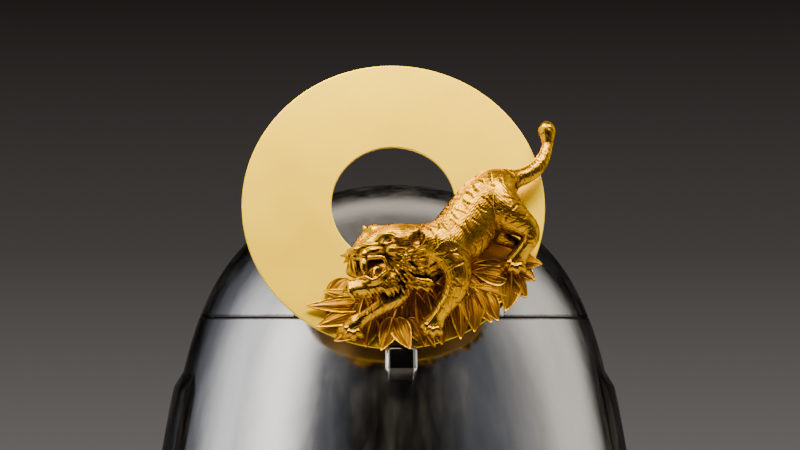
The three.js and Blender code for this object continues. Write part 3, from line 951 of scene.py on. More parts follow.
@dataclass
class CrestPost:
    """The lacquered socket block on the brow."""

    frame: CrestFrame
    width: float = 14.8
    front: float = 4.0
    back: float = -9.6
    top: float = -70.0
    bottom: float = -82.5
    corner: float = 2.6
    roll: float = 2.2  # radius of the rolled front edge
    worn_from: float = 2.1  # inside the flanks, where the lacquer starts to wear
    worn_to: float = 1.3

    def build(self) -> None:
        """Makes and dresses the post."""
        dress(self.block(), BlackLacquer().build(), "black_lacquer", "crest_post")

    def block(self) -> Piece:
        """The block: a rounded outline carried back, its front edge rolled over.

        The outline shrinks towards the front by r (1 - cos a) while it moves forward by
        r sin a, a quarter turn of radius r.
        """
        half = self.width / 2
        offset = -self.frame.centre[0]
        corners = np.array([
            [-half, self.bottom], [half, self.bottom], [half, self.top], [-half, self.top],
        ])
        outline = rounded_loop(corners, self.corner, 1.0, turns=8)
        middle = outline.mean(0)
        angle = np.linspace(0, np.pi / 2, 9)
        inset = np.concatenate([[0.0, 0.0], self.roll * (1 - np.cos(angle))])[:, None, None]
        depth = np.concatenate([[self.back, -4.0], self.front - self.roll + self.roll * np.sin(angle)])
        size = np.abs(outline - middle).max(0)
        flat = middle + (outline - middle) * (1 - inset / size)
        level = np.broadcast_to(depth[:, None], flat.shape[:2])
        block = capped_tube(np.stack([flat[..., 0] + offset, flat[..., 1], level], -1))
        flank = np.abs(block.points[:, 0] - offset)
        block.values["worn"] = smooth(half - self.worn_from, half - self.worn_to, flank)
        block.points = self.frame.to_helmet(block.points)
        return block.to_object("crest_post_block")


@dataclass
class CrestDisc:
    """The pierced gilt disc with its tang."""

    frame: CrestFrame
    radius: float = 70.7
    hole: float = 28.9
    thick: float = 1.2
    edge: float = 0.3
    tang_half: float = 4.0
    tang_depth: float = 9.0
    tang_thinner: float = 0.05  # how far its faces lie under the disc's

    def build(self) -> None:
        """Makes and dresses the disc."""
        dress(self.ring(), SatinGilt().build(), "satin_gilt", "crest_disc")

    def ring(self) -> Piece:
        """A flat section with rounded edges turned about the disc's axis, and a flat tang."""
        corners = np.array([
            [self.hole, -self.thick], [self.radius, -self.thick], [self.radius, 0.0], [self.hole, 0.0],
        ])
        section = rounded_loop(corners, self.edge, 4.0)
        turn = np.linspace(0, 2 * np.pi, 361)[:-1]
        x = np.cos(turn)[:, None] * section[None, :, 0]
        y = np.sin(turn)[:, None] * section[None, :, 0]
        z = np.broadcast_to(section[None, :, 1], x.shape)
        points = np.stack([x, y, z], -1)
        quads = grid_quads(len(turn), len(section), wrap_rows=True, wrap_cols=True)
        back = (z.ravel() < -self.thick + 0.01).astype(float)
        body = Surface(points.reshape(-1, 3), quads[:, ::-1], values={"back": back})
        both = Surface.joined([body, self.tang()])
        both.points = self.frame.to_helmet(both.points)
        return both.to_object("crest_disc_gilt")

    def tang(self) -> Surface:
        """A flat bar from inside the disc's lower edge down into the post."""
        mid = -self.frame.centre[0]
        thin = self.tang_thinner
        low = np.array([mid - self.tang_half, -self.radius - self.tang_depth, -self.thick + thin])
        high = np.array([mid + self.tang_half, -self.radius + 1.5, -thin])
        square = [[0, 0], [1, 0], [1, 1], [0, 1]]
        corners = np.array([[*place, level] for level in (0, 1) for place in square], float)
        faces = np.array([
            [3, 2, 1, 0], [4, 5, 6, 7], [0, 1, 5, 4], [1, 2, 6, 5], [2, 3, 7, 6], [3, 0, 4, 7],
        ])
        return Surface(low + corners * (high - low), faces, values={"back": np.ones(len(corners))})


# ---- bamboo leaves


def table(columns: str, rows: list[list[float]]) -> dict[str, Array]:
    """Turns rows of numbers into one array for each named column."""
    return dict(zip(columns.split(), np.array(rows, float).T))


def bell(distance: Array, width: float) -> Array:
    """A bell curve, exp(-(distance / width)^2)."""
    return np.exp(-((distance / width) ** 2))


@dataclass
class BambooLeaves:
    """A casting of overlapping bamboo leaves on a common backing."""

    frame: CrestFrame
    stations: int = 44
    across: int = 29
    crown: float = 0.45  # ridge above the edges
    rim_height: float = 0.34
    rim_width: float = 0.42
    rib_height: float = 0.27
    rib_width: float = 0.36
    trough: float = 0.17
    vein_height: float = 0.13
    veins: int = 3  # on each side of the rib
    fullness: float = 1.34
    bow: float = 0.045  # a leaf's sideways bend, as a share of its length
    thick: float = 1.3
    under_step_deg: float = 8.5  # between the leaves of the lower layer
    under_width: float = 12.5
    under_base_rise: float = 2.9
    under_tip_rise: float = 2.4
    bed_outer: float = 62.0
    bed_inner: float = 44.0
    bed_from_deg: float = -121.0
    bed_to_deg: float = -38.0
    bed_thick: float = 2.3
    bed_round: float = 0.8
    cell: float = 0.5  # of the grid that finds the deep places
    recess_depth: float = 2.2  # this far under its surroundings a place is fully dark

    LEAVES = table("base_x base_y tip_x tip_y width base_rise tip_rise", [
        [-11, -47.5, -33, -43.5, 6, 3.5, 3], [-10, -50, -41, -51, 7, 4.2, 3],
        [-11, -52.5, -36, -61, 8.5, 3.6, 2.6], [-12, -55, -28, -68, 9.5, 3, 2.4],
        [-10, -57, -13.5, -71, 7.5, 3, 2.6], [-17, -58, -14, -47, 8.5, 3.4, 4.6],
        [-1, -57, -6.5, -73.5, 7.5, 4.6, 5.2], [1, -57, 7, -73, 8, 4.4, 5.6],
        [11, -61, 9.8, -44.6, 12, 3, 4.4], [18, -59, 14.5, -43.5, 8, 2.8, 3.6],
        [4, -58, 2.5, -45, 8, 2.6, 3.4], [24, -58, 21, -44, 8.5, 2.8, 3.4],
        [31, -57, 27.5, -42, 8.5, 2.8, 3.6], [43, -50, 33, -40, 8, 2.8, 3.4],
        [58, -38, 44, -32.5, 8, 2.8, 3.4], [-3, -56, -9, -46, 7.5, 2.6, 3.4],
        [6, -57, 14, -71, 7, 3.6, 3], [10, -57, 18.5, -71, 7, 3.2, 2.8],
        [20, -55, 21.5, -70, 7.5, 3.6, 3], [29, -49, 30, -67.5, 7.5, 4.2, 3.4],
        [33, -62, 24, -53, 7.5, 3, 3.6], [35, -46, 36.5, -64, 8.5, 4.2, 3.4],
        [37, -45, 44.5, -59.5, 7.5, 4.6, 3.4], [42, -45, 47.5, -58.5, 7.5, 4, 3.2],
        [54, -34, 51, -54, 9, 4.6, 3.4], [54, -36, 61, -47, 7.5, 4, 3],
        [56, -32, 65, -38.5, 7, 3.6, 2.8], [53, -28.5, 68.5, -30.5, 7.5, 3.4, 2.8],
        [52, -38.5, 35.5, -34.5, 8, 4.4, 3.6], [50, -31, 36, -30.5, 6, 3, 3],
        [52, -46.5, 36, -42, 8, 3.6, 3.8],
    ])

    def build(self) -> None:
        """Makes and dresses the casting."""
        gilt = ChasedGilt(name="antique gilt casting", bright="ecbc0e", middle="ac7606", dark="180b01",
                          roughness=0.28, hair_depth_mm=0.18)
        dress(self.casting(), gilt.build(), "antique_gilt", "bamboo_leaves")

    def lower_layer(self) -> dict[str, Array]:
        """The lower layer: leaves set like spokes over the whole backing.

        Their tips sway and reach out by uneven amounts, by sines of their number.

        Returns:
            The same columns as the table of leaves.
        """
        turn = np.radians(np.arange(self.bed_from_deg + 3, self.bed_to_deg - 1, self.under_step_deg))
        number = np.arange(len(turn))
        tip_turn = turn + 0.16 * np.sin(2.7 * number)
        inner = self.bed_inner - 1.0
        outer = self.bed_outer + 2.0 + 1.5 * np.cos(1.9 * number)
        return {
            "base_x": inner * np.cos(turn), "base_y": inner * np.sin(turn),
            "tip_x": outer * np.cos(tip_turn), "tip_y": outer * np.sin(tip_turn),
            "width": np.full(len(turn), self.under_width),
            "base_rise": np.full(len(turn), self.under_base_rise),
            "tip_rise": np.full(len(turn), self.under_tip_rise),
        }

    @staticmethod
    def spread(share: Array) -> Array:
        """A leaf's half-width from base (0) to tip (1): sin(pi s^0.72)^0.8 (1 - s / 4)."""
        return np.sin(np.pi * share ** 0.72).clip(0) ** 0.8 * (1 - 0.25 * share)

    def relief(self, share: Array, reach: Array, wide: Array, fullness: Array) -> Array:
        """The height that chasing gives a leaf's top.

        A raised rim and rib are bell curves of the distance from them, the trough between
        them is a sine and the veins are a cosine with a whole number and a half of waves.

        Args:
            share: Place along the leaf, from 0 to 1, as a column.
            reach: Place across it, from 0 at the rib to 1 at the edge, as a row.
            wide: The leaf's half-width, as a column.
            fullness: The same as a share of its greatest.

        Returns:
            The heights by station and place across.
        """
        rim = self.rim_height * bell((1 - reach) * wide, self.rim_width)
        rib = self.rib_height * bell(reach * wide, self.rib_width) * (1 - 0.5 * share)
        trough = self.trough * np.sin(np.pi * reach) * fullness
        vein = self.vein_height * np.cos(2 * np.pi * (self.veins + 0.5) * reach) * fullness
        return rim + rib - trough + vein

    def leaf(self, number: int, row: dict[str, float]) -> Surface:
        """One closed leaf.

        Its top is a low ridge that falls away as |t|^1.4 from the rib to the edge, with the
        relief on it. It bends sideways and swells up by a sine from base to tip.

        Args:
            number: The leaf's number, from which its bend and swell follow.
            row: The leaf's row in the table.

        Returns:
            The leaf, with how deep its relief lies as a value.
        """
        base = np.array([row["base_x"], row["base_y"]])
        along = np.array([row["tip_x"], row["tip_y"]]) - base
        length = np.linalg.norm(along)
        side = np.array([-along[1], along[0]]) / length
        share = 0.012 + 0.976 * (0.5 - 0.5 * np.cos(np.pi * np.linspace(0, 1, self.stations))) ** 0.9
        share = share[:, None]
        wide = (row["width"] / 2 * self.fullness * self.spread(share)).clip(0.12)
        fullness = wide / wide.max()
        bend = self.bow * length * math.sin(2.4 * number + 0.7) * np.sin(np.pi * share)
        swell = 0.5 * np.sin(np.pi * share) * (1 + 0.6 * math.sin(3.1 * number))
        ridge = row["base_rise"] + (row["tip_rise"] - row["base_rise"]) * share + swell

        t = np.sin(np.pi / 2 * np.linspace(-1, 1, self.across))
        reach = np.abs(t)[None, :]
        relief = self.relief(share, reach, wide, fullness)
        top = ridge - self.crown * fullness * reach ** 1.4 + relief
        under_t = t[-2:0:-3] * 0.96
        under = np.broadcast_to(ridge - self.crown - self.thick * fullness, (self.stations, len(under_t)))

        height = np.concatenate([top, under], 1)
        sideways = np.concatenate([t, under_t])[None, :] * wide + bend
        flat = base + share[..., None] * along + sideways[..., None] * side
        rings = np.concatenate([flat, np.maximum(height, GAP)[..., None]], -1)
        leaf = capped_tube(rings, inside_out=True)
        # Painted shade: the recess darkens the lower parts of the relief and the whole underside, as shade
        # and patina.
        low = np.concatenate([0.5 - relief / 0.5, np.ones_like(under)], 1)
        run = np.broadcast_to(share * length, sideways.shape)
        flow = np.stack([run, sideways, np.full(sideways.shape, number * 9.0)], -1)
        leaf.values["recess"] = np.concatenate([low.ravel(), [1.0, 1.0]])
        leaf.values["flow"] = np.concatenate([flow.reshape(-1, 3), np.zeros((2, 3))])
        return leaf

    def bed(self) -> Surface:
        """The backing, a sector of a flat ring with rounded edges."""
        turn = np.radians(np.linspace(self.bed_from_deg, self.bed_to_deg, 90))[:, None]
        corners = np.array([
            [self.bed_inner, GAP], [self.bed_outer, GAP],
            [self.bed_outer, self.bed_thick], [self.bed_inner, self.bed_thick],
        ])
        radius, level = rounded_loop(corners, self.bed_round, 1.5).T
        rings = np.broadcast_arrays(np.cos(turn) * radius, np.sin(turn) * radius, level)
        bed = capped_tube(np.stack(rings, -1), inside_out=True)
        # Painted shade: the backing counts as fully recessed, dark as shade and patina.
        bed.values = {"recess": np.ones(len(bed.points)), "flow": np.zeros((len(bed.points), 3))}
        return bed

    def casting(self) -> Piece:
        """All leaves with the backing; deep places between the leaves are marked as recesses, which paint
        shade there along with patina.

        Every leaf writes its height on a flat grid, the highest wins, and a place is as deep
        as it lies under the mean height of the grid around it.

        Returns:
            The finished casting.
        """
        lower = self.lower_layer()
        columns = {key: np.concatenate([column, lower[key]]) for key, column in self.LEAVES.items()}
        rows = [dict(zip(columns, row)) for row in zip(*columns.values())]
        whole = Surface.joined([self.bed()] + [self.leaf(number, row) for number, row in enumerate(rows)])
        points = whole.points
        margin = 6.0
        place = ((points[:, :2] - points[:, :2].min(0) + margin) / self.cell).astype(int)
        heights = np.zeros(place.max(0) + 14)
        np.maximum.at(heights, (place[:, 0], place[:, 1]), points[:, 2])
        around = box_blur(box_blur(heights, 2), 4)
        depth = around[place[:, 0], place[:, 1]] - points[:, 2]
        deep = 0.55 * smooth(-0.3, self.recess_depth, depth)
        # Painted shade: places under their neighbours darken further, as shade and patina.
        whole.values["recess"] = (whole.values["recess"] * 0.62 + deep).clip(0, 1)
        whole.points = self.frame.to_helmet(points)
        return whole.to_object("bamboo_leaves_casting", sharp_deg=60)


def box_blur(field_values: Array, reach: int) -> Array:
    """The mean over a square of cells around each cell, by running sums.

    Args:
        field_values: The grid of values.
        reach: Cells on each side of the middle one.

    Returns:
        The blurred grid.
    """
    size = 2 * reach + 1
    out = field_values
    for axis in range(out.ndim):
        pad = [(0, 0)] * out.ndim
        pad[axis] = (reach + 1, reach)
        total = np.cumsum(np.pad(out, pad, mode="edge"), axis=axis)
        upper = np.take(total, np.arange(size, total.shape[axis]), axis=axis)
        lower = np.take(total, np.arange(0, total.shape[axis] - size), axis=axis)
        out = (upper - lower) / size
    return out


# ---- modelling by distance


def smooth_min(a: Array, b: Array, blend: float) -> Array:
    """The smaller of two distances, rounded where they come within the blend.

    With h = max(blend - |a - b|, 0) / blend, it is min(a, b) - h^2 blend / 4.

    Args:
        a: One distance.
        b: The other.
        blend: How close they are where rounding starts.

    Returns:
        The blended distance.
    """
    if blend <= 0:
        return np.minimum(a, b)
    near = np.maximum(blend - np.abs(a - b), 0) / blend
    return np.minimum(a, b) - near * near * blend * 0.25


def rounded_distance(reach: Array, scaled: Array, inner: Array | float) -> Array:
    """About how far places are from an ellipsoid's or a limb's surface: |r| - |r| / q.

    Args:
        reach: |r|, the distance from the middle or the axis.
        scaled: q, the same offset measured in radii.
        inner: The depth of the middle itself, where q is 0.

    Returns:
        The distances, negative inside.
    """
    least = 1e-4
    return np.where(scaled > least, reach - reach / np.maximum(scaled, least), -inner)


@dataclass
class Chain:
    """A limb: a smooth line of stations, each with a half-width and a half-depth."""

    stations: Array  # columns x, y, rise, wide, deep

    @staticmethod
    def through(rows: Array, steps: int = 5) -> "Chain":
        """A Catmull-Rom spline through the rows.

        Between rows P1 and P2, with neighbours P0 and P3, a point at t is half of
        2 P1 + (P2 - P0) t + (2 P0 - 5 P1 + 4 P2 - P3) t^2 + (3 P1 - P0 - 3 P2 + P3) t^3.

        Args:
            rows: Rows of x, y, rise, wide and deep.
            steps: Divisions between two rows.

        Returns:
            The refined chain.
        """
        p = np.concatenate([2 * rows[:1] - rows[1:2], rows, 2 * rows[-1:] - rows[-2:-1]])
        t = np.linspace(0, 1, steps, endpoint=False)[None, :, None]
        p0, p1, p2, p3 = (p[k:len(p) - 3 + k, None, :] for k in range(4))
        line = 0.5 * (2 * p1 + (p2 - p0) * t + (2 * p0 - 5 * p1 + 4 * p2 - p3) * t ** 2
                      + (3 * p1 - p0 - 3 * p2 + p3) * t ** 3)
        full = np.concatenate([line.reshape(-1, 5), rows[-1:]])
        full[:, 3:] = full[:, 3:].clip(0.15)
        return Chain(full)

    def segments(self) -> list[tuple[Array, Array]]:
        """The pairs of neighbouring stations."""
        return list(zip(self.stations[:-1], self.stations[1:]))

    def lengths(self) -> Array:
        """Distance along the limb at each station."""
        steps = np.linalg.norm(np.diff(self.stations[:, :3], axis=0), axis=1)
        return np.concatenate([[0.0], np.cumsum(steps)])

    @staticmethod
    def measure(x: Array, y: Array, z: Array, a: Array, b: Array) -> tuple[Array, Array, Array, Array]:
        """Distance from a tapered elliptic segment, and the place beside it.

        Args:
            x: Places along X.
            y: Places along Y.
            z: Places along Z.
            a: First station.
            b: Second station.

        Returns:
            The distance, the share along the segment, and the offsets across and upwards.
        """
        run = b[:3] - a[:3]
        length = max(float(np.linalg.norm(run)), 1e-6)
        ahead = run / length
        across = np.cross(ahead, [0.0, 0.0, 1.0])
        size = np.linalg.norm(across)
        across = across / size if size > 1e-3 else np.array([1.0, 0.0, 0.0])
        up = np.cross(across, ahead)
        dx, dy, dz = x - a[0], y - a[1], z - a[2]
        along = dx * ahead[0] + dy * ahead[1] + dz * ahead[2]
        share = np.clip(along / length, 0, 1)
        rest = along - share * length
        ra = dx * across[0] + dy * across[1] + dz * across[2]
        ru = dx * up[0] + dy * up[1] + dz * up[2]
        wide = a[3] + (b[3] - a[3]) * share
        deep = a[4] + (b[4] - a[4]) * share
        end = np.minimum(wide, deep)
        reach = np.sqrt(ra * ra + ru * ru + rest * rest)
        scaled = np.sqrt((ra / wide) ** 2 + (ru / deep) ** 2 + (rest / end) ** 2)
        return rounded_distance(reach, scaled, end), share, ra, ru


class Sculpture:
    """A solid held as distances on a grid: negative inside, positive outside."""

    FAR = 9.0  # the distance that an empty grid holds
    PAD = 1.5  # worked out this far round a form and its blend

    def __init__(self, low: Array, high: Array, step: float) -> None:
        """Starts with an empty grid.

        Args:
            low: Lowest corner.
            high: Highest corner.
            step: Spacing of the grid.
        """
        self.low = np.array(low, float)
        self.step = step
        self.size = np.ceil((np.array(high) - self.low) / step).astype(int) + 1
        self.axes = [self.low[k] + step * np.arange(self.size[k]) for k in range(3)]
        self.values = np.full(self.size, self.FAR, np.float32)

    def window(self, low: Array, high: Array) -> tuple[tuple[slice, ...], list[Array]]:
        """The part of the grid in a box, as slices and as coordinates that broadcast.

        Args:
            low: Lowest corner of the box.
            high: Highest corner of the box.

        Returns:
            The slices, and the coordinates along each axis.
        """
        first = np.clip(np.floor((low - self.low) / self.step).astype(int), 0, self.size - 1)
        last = np.clip(np.ceil((high - self.low) / self.step).astype(int) + 1, 1, self.size)
        cut = tuple(slice(a, b) for a, b in zip(first, last))
        x, y, z = (axis[part] for axis, part in zip(self.axes, cut))
        return cut, [x[:, None, None], y[None, :, None], z[None, None, :]]

    def limb(self, chain: Chain, blend: float = 0.0) -> None:
        """Adds a limb.

        Args:
            chain: The limb.
            blend: Rounding of its joint with what is there.
        """
        pad = chain.stations[:, 3:].max() + blend + self.PAD
        places = chain.stations[:, :3]
        cut, _ = self.window(places.min(0) - pad, places.max(0) + pad)
        own = np.full(self.values[cut].shape, self.FAR, np.float32)
        origin = [part.start for part in cut]
        for a, b in chain.segments():
            reach = max(a[3:].max(), b[3:].max()) + blend + self.PAD
            low, high = np.minimum(a[:3], b[:3]), np.maximum(a[:3], b[:3])
            inner, (x, y, z) = self.window(low - reach, high + reach)
            local = tuple(slice(p.start - o, p.stop - o) for p, o in zip(inner, origin))
            distance = Chain.measure(x, y, z, a, b)[0]
            own[local] = np.minimum(own[local], distance)
        self.values[cut] = smooth_min(self.values[cut], own, blend)

    def ball(self, centre: Array, radii: Array, blend: float,
             turn_deg: float = 0.0, hollow: bool = False) -> None:
        """Adds or cuts an ellipsoid.

        Args:
            centre: Its middle.
            radii: Its three radii.
            blend: Rounding of the joint.
            turn_deg: Its turn about the outward axis.
            hollow: True to cut it away.
        """
        centre, radii = np.array(centre, float), np.array(radii, float)
        reach = radii.max() + blend + self.PAD
        cut, (x, y, z) = self.window(centre - reach, centre + reach)
        angle = math.radians(turn_deg)
        dx, dy, dz = x - centre[0], y - centre[1], z - centre[2]
        across = dx * math.cos(angle) + dy * math.sin(angle)
        along = dy * math.cos(angle) - dx * math.sin(angle)
        far = np.sqrt(across ** 2 + along ** 2 + dz ** 2)
        scaled = np.sqrt((across / radii[0]) ** 2 + (along / radii[1]) ** 2 + (dz / radii[2]) ** 2)
        distance = rounded_distance(far, scaled, radii.min())
        sign = -1 if hollow else 1
        self.values[cut] = sign * smooth_min(sign * self.values[cut], distance, blend)

    def sample(self, points: Array) -> Array:
        """Distances at points, weighted between the eight grid values around each.

        Args:
            points: The points.

        Returns:
            One distance for each.
        """
        place = np.clip((points - self.low) / self.step, 0, self.size - 1.001)
        first = place.astype(int)
        part = place - first
        total = np.zeros(len(points))
        for corner in np.ndindex(2, 2, 2):
            weight = np.prod(np.where(np.array(corner), part, 1 - part), axis=1)
            i, j, k = (first + np.array(corner)).T
            total += weight * self.values[i, j, k]
        return total

    def skin(self) -> tuple[Array, Array]:
        """The zero surface as quads, by naive surface nets.

        Every cell that the surface crosses gets one vertex, the mean of the crossings of its
        edges. Every grid edge that it crosses gets one quad between its four cells.

        Returns:
            The vertices and the quads.
        """
        values = self.values
        inside = values < 0
        count = np.zeros(self.size - 1, np.int8)  # corners inside, for each cell
        for corner in np.ndindex(2, 2, 2):
            count += inside[tuple(slice(k, k + size) for k, size in zip(corner, count.shape))]
        cells = np.argwhere((count > 0) & (count < 8))
        number = np.full(count.shape, -1, np.int32)
        number[tuple(cells.T)] = np.arange(len(cells))
        total = np.zeros((len(cells), 3))
        hits = np.zeros((len(cells), 1))
        for axis in range(3):
            others = [k for k in range(3) if k != axis]
            for pair in np.ndindex(2, 2):
                start = np.zeros(3, int)
                start[others] = pair
                end = start.copy()
                end[axis] = 1
                va = values[tuple((cells + start).T)]
                vb = values[tuple((cells + end).T)]
                crossed = ((va < 0) != (vb < 0))[:, None]
                share = (va / np.where(va == vb, 1, va - vb))[:, None]
                total += crossed * (start + share * (end - start))
                hits += crossed
        points = self.low + self.step * (cells + total / hits)
        quads = []
        for axis in range(3):
            one, two = [k for k in range(3) if k != axis]
            before = np.take(inside, np.arange(inside.shape[axis] - 1), axis=axis)
            after = np.take(inside, np.arange(1, inside.shape[axis]), axis=axis)
            edges = np.argwhere(before != after)
            edges = edges[(edges[:, one] > 0) & (edges[:, two] > 0)]
            edges = edges[(edges[:, one] < count.shape[one]) & (edges[:, two] < count.shape[two])]
            step_one, step_two = np.eye(3, dtype=int)[one], np.eye(3, dtype=int)[two]
            around = [edges, edges - step_one, edges - step_one - step_two, edges - step_two]
            quad = np.stack([number[tuple(cell.T)] for cell in around], -1)
            outward = before[tuple(edges.T)]
            if axis == 1:
                outward = ~outward
            quads.append(np.where(outward[:, None], quad, quad[:, ::-1]))
        return points, np.concatenate(quads)


# ---- tiger


@dataclass
class Tiger:
    """The cast and chased tiger, modelled by distances and skinned.

    Its tables say where each section is seen from straight in front: x across, seen up the
    disc, and rise off the disc. A raised point is seen higher up the disc by a share of its
    rise, which place() takes off again.
    """

    frame: CrestFrame
    step: float = 0.438
    sight: float = 0.384
    coat_blend: float = 0.7
    stripe_depth: float = 0.3
    stripe_dark: float = 0.5
    fur_width: float = 1.25
    fur_length: float = 3.4
    fur_height: float = 0.2
    fur_dark: float = 0.42
    cheek: tuple[float, float] = (-3.0, -25.0)
    ruff_width_deg: float = 8.5
    ruff_length: float = 6.5
    ruff_height: float = 1.0
    ruff_dark: float = 0.4
    seed: int = 11

    APART = 40.0  # between two limbs' third coordinates of the coat
    # Limbs are rows of x, seen, rise, wide and deep; the first number of a part is its blend.
    BODY_PARTS = {
        "torso": (0.0, [
            [50, 9.5, 12, 7.5, 7.5], [46, 6.5, 13, 10.3, 10], [40.5, 0.3, 13.5, 12.3, 11.5],
            [34.3, -9.6, 14, 13.8, 12], [28.3, -16.8, 14.5, 13.3, 12.2], [22, -20, 15.5, 12, 12],
            [15.5, -20.3, 16.5, 10, 11], [9, -19.8, 17.5, 9.3, 9.5], [3, -19.3, 18, 9, 9],
        ]),
        "far_hind_leg": (2.0, [
            [44, -3, 7.5, 8, 6], [47.5, -12.5, 7, 6, 5.5], [51.5, -17, 6.5, 3.4, 3.8],
            [56, -19.5, 6, 3, 3.2], [59, -24, 5.5, 3.2, 3.3],
        ]),
        "tail": (2.5, [
            [43, 9.5, 13, 6.5, 6], [50, 12.3, 12.5, 5, 5], [57, 13.2, 11.5, 4.3, 4.4],
            [62.5, 15.4, 10.5, 3.9, 4.1], [67, 19, 10, 3.6, 3.7], [70.2, 24, 9.5, 3.1, 3.1],
            [71.8, 29.5, 9, 2.7, 2.7], [72, 34, 9, 3.4, 3.3], [71.8, 37.5, 9, 4.1, 3.8],
            [71.8, 40, 9, 2.4, 2.2],
        ]),
        "near_hind_leg": (1.6, [
            [46, 3, 14, 10.5, 10], [50.5, -3, 15.5, 9.2, 9.4], [56, -7.5, 15.5, 7, 7.4],
            [61, -11.5, 14.5, 5.3, 5.8], [62.3, -16.3, 13.5, 4.2, 4.8], [60, -20.8, 12, 3.7, 4.1],
            [57.2, -25, 10, 4, 3.9],
        ]),
        "far_foreleg": (2.0, [
            [12, -27, 13, 8, 8], [6.5, -37, 12.5, 6, 6.5], [2, -44.5, 12.5, 4.6, 5],
            [-3.5, -48.3, 12.5, 4, 4.5], [-9, -52, 11, 3.3, 3.6], [-14, -55.3, 9.5, 3.1, 3.2],
            [-18, -58, 8.5, 4, 3.4],
        ]),
        "near_foreleg": (4.0, [
            [23, -23, 20, 8.5, 7.5], [27.5, -31, 19, 7.2, 7.6], [28, -37.5, 17.5, 6.4, 6.6],
            [26.2, -43.5, 15.5, 5.4, 5.5], [23, -49, 13, 4.3, 4.6], [20, -53.5, 11, 3.8, 4],
            [18, -57, 9.5, 4.2, 3.8],
        ]),
    }
    BALL_COLUMNS = "x seen rise wide long deep turn_deg blend"
    MUSCLES = table(BALL_COLUMNS, [
        [12.5, -30, 13, 10, 10, 9, 0, 3],
        [23, -19.5, 21, 8.5, 7.5, 6.6, 40, 3],
        [-5.8, -45.4, 14.6, 2.8, 2.6, 2.4, 0, 1.2],
    ])
    STRIPES = {  # spacing along the limb and where they start
        "torso": (3.7, 1.0), "tail": (3.1, 6.0), "near_hind_leg": (3.8, 5.0),
    }
    PAWS = table("x seen rise toe_from_deg toe_to_deg", [
        [17.2, -58.3, 9, -165, -55],
        [-19.3, -60, 8, -165, -45],
        [55.5, -27.8, 9, -160, -50],
    ])
    SKULL = table(BALL_COLUMNS, [[0, -19.6, 17.3, 11, 8.8, 9, 0, 2]])
    HEAD_PARTS = [
        (2.0, [[-9, -14.4, 16, 4, 4], [0, -15, 17.5, 4.7, 5], [8, -15.6, 17.5, 5, 5.5],
               [15, -15.8, 17, 5.4, 6]]),
        (2.0, [[-2, -19, 20.5, 7, 6], [-8, -19, 20.5, 5, 5], [-13.5, -21.4, 21, 3.6, 3.8],
               [-17, -22.6, 20.8, 2.5, 2.6]]),
        (1.5, [[-9.5, -14, 15, 4, 4], [-13, -17.5, 15.5, 3.8, 4], [-16, -21, 16.5, 3, 3]]),
        (1.5, [[3, -21, 19.5, 6.5, 6.2], [2.6, -26, 19.8, 6.8, 6.2], [0.6, -31, 18.6, 5.6, 5.6]]),
        (1.2, [[-16.5, -23.5, 18, 3, 3], [-20.5, -25.2, 16.5, 2.6, 2.6]]),
        (1.5, [[1, -33, 17, 6, 6.5], [-5, -36.2, 19.3, 4, 5], [-11.5, -38.9, 20.3, 2.8, 3.8],
               [-17, -38.8, 19.3, 2.3, 2.8]]),
    ]
    HOLLOWS = table(BALL_COLUMNS, [
        [-11.2, -31, 26, 7, 4.6, 7.4, 28, 0.6],
        [-18, -31.4, 22.6, 4.6, 4.4, 7, 10, 0.6],
        [-4.6, -17.2, 28.4, 3.6, 1.9, 2.6, 4, 0.6],
        [-16.7, -21.9, 24.6, 0.9, 0.7, 1.2, 0, 0.6],
        [-19.5, -22.5, 23.4, 0.7, 0.6, 1.2, 0, 0.6],
    ])
    LUMPS = table(BALL_COLUMNS, [
        [-14.2, -24.8, 23.4, 2.7, 2.1, 2.4, 0, 0.7],
        [-18.4, -25.5, 21, 2.2, 1.9, 2.2, 0, 0.7],
        [-18, -22.3, 22.6, 2.3, 1.4, 1.7, 5, 0.7],
        [-4.5, -17.4, 25.7, 1.9, 1.3, 1.6, 0, 0.7],
        [-1.6, -22.3, 24.4, 3.6, 3.2, 3, 30, 0.7],
        [-9.5, -23.4, 23.2, 5.4, 2.7, 3.2, 8, 0.7],
    ])
    RIDGES = [  # brow, eyelids, wrinkles of the muzzle, lips and jaw
        [[-8.4, -17.4, 24.8, 0.7, 0.7], [-6.6, -15.4, 26, 1.1, 1], [-3.2, -14.7, 26.8, 1.3, 1.2],
         [0.2, -16, 26.6, 1.1, 1], [1.6, -18.2, 26, 0.8, 0.8]],
        [[-8, -17.7, 25, 0.45, 0.45], [-4.6, -19.1, 26.4, 0.6, 0.6], [-0.8, -18.3, 26.8, 0.5, 0.5]],
        [[-7.8, -17.2, 25.4, 0.4, 0.4], [-4.6, -15.9, 26.9, 0.55, 0.5], [-0.9, -17.8, 27, 0.4, 0.4]],
        [[-15.5, -21.2, 23.4, 0.6, 0.6], [-10.5, -19.9, 24.6, 0.9, 0.8], [-7.5, -19.6, 25, 0.6, 0.6]],
        [[-14.6, -22.8, 24.2, 0.6, 0.6], [-10, -21.7, 25.4, 0.95, 0.8], [-6, -21.4, 26.2, 0.6, 0.6]],
        [[-17, -26.6, 22.6, 0.8, 0.8], [-11, -26, 25, 1, 1], [-6.4, -25.5, 26.2, 0.9, 0.9],
         [-4.9, -27, 26.3, 0.8, 0.8], [-4, -29.6, 25.8, 0.8, 0.8], [-2.4, -31, 25, 0.7, 0.7]],
        [[-19.2, -36.9, 20, 0.8, 0.8], [-14, -35.4, 22.8, 1, 1], [-10, -36.8, 23.8, 1, 1],
         [-6, -33.8, 24.2, 0.9, 0.9], [-2.8, -31.2, 24.6, 0.7, 0.7]],
        [[3, -18.6, 25, 0.9, 0.8], [4.6, -22.5, 25.4, 1.1, 1], [3.8, -27, 24.8, 1, 1],
         [1, -31.6, 23.6, 0.8, 0.8]],
    ]
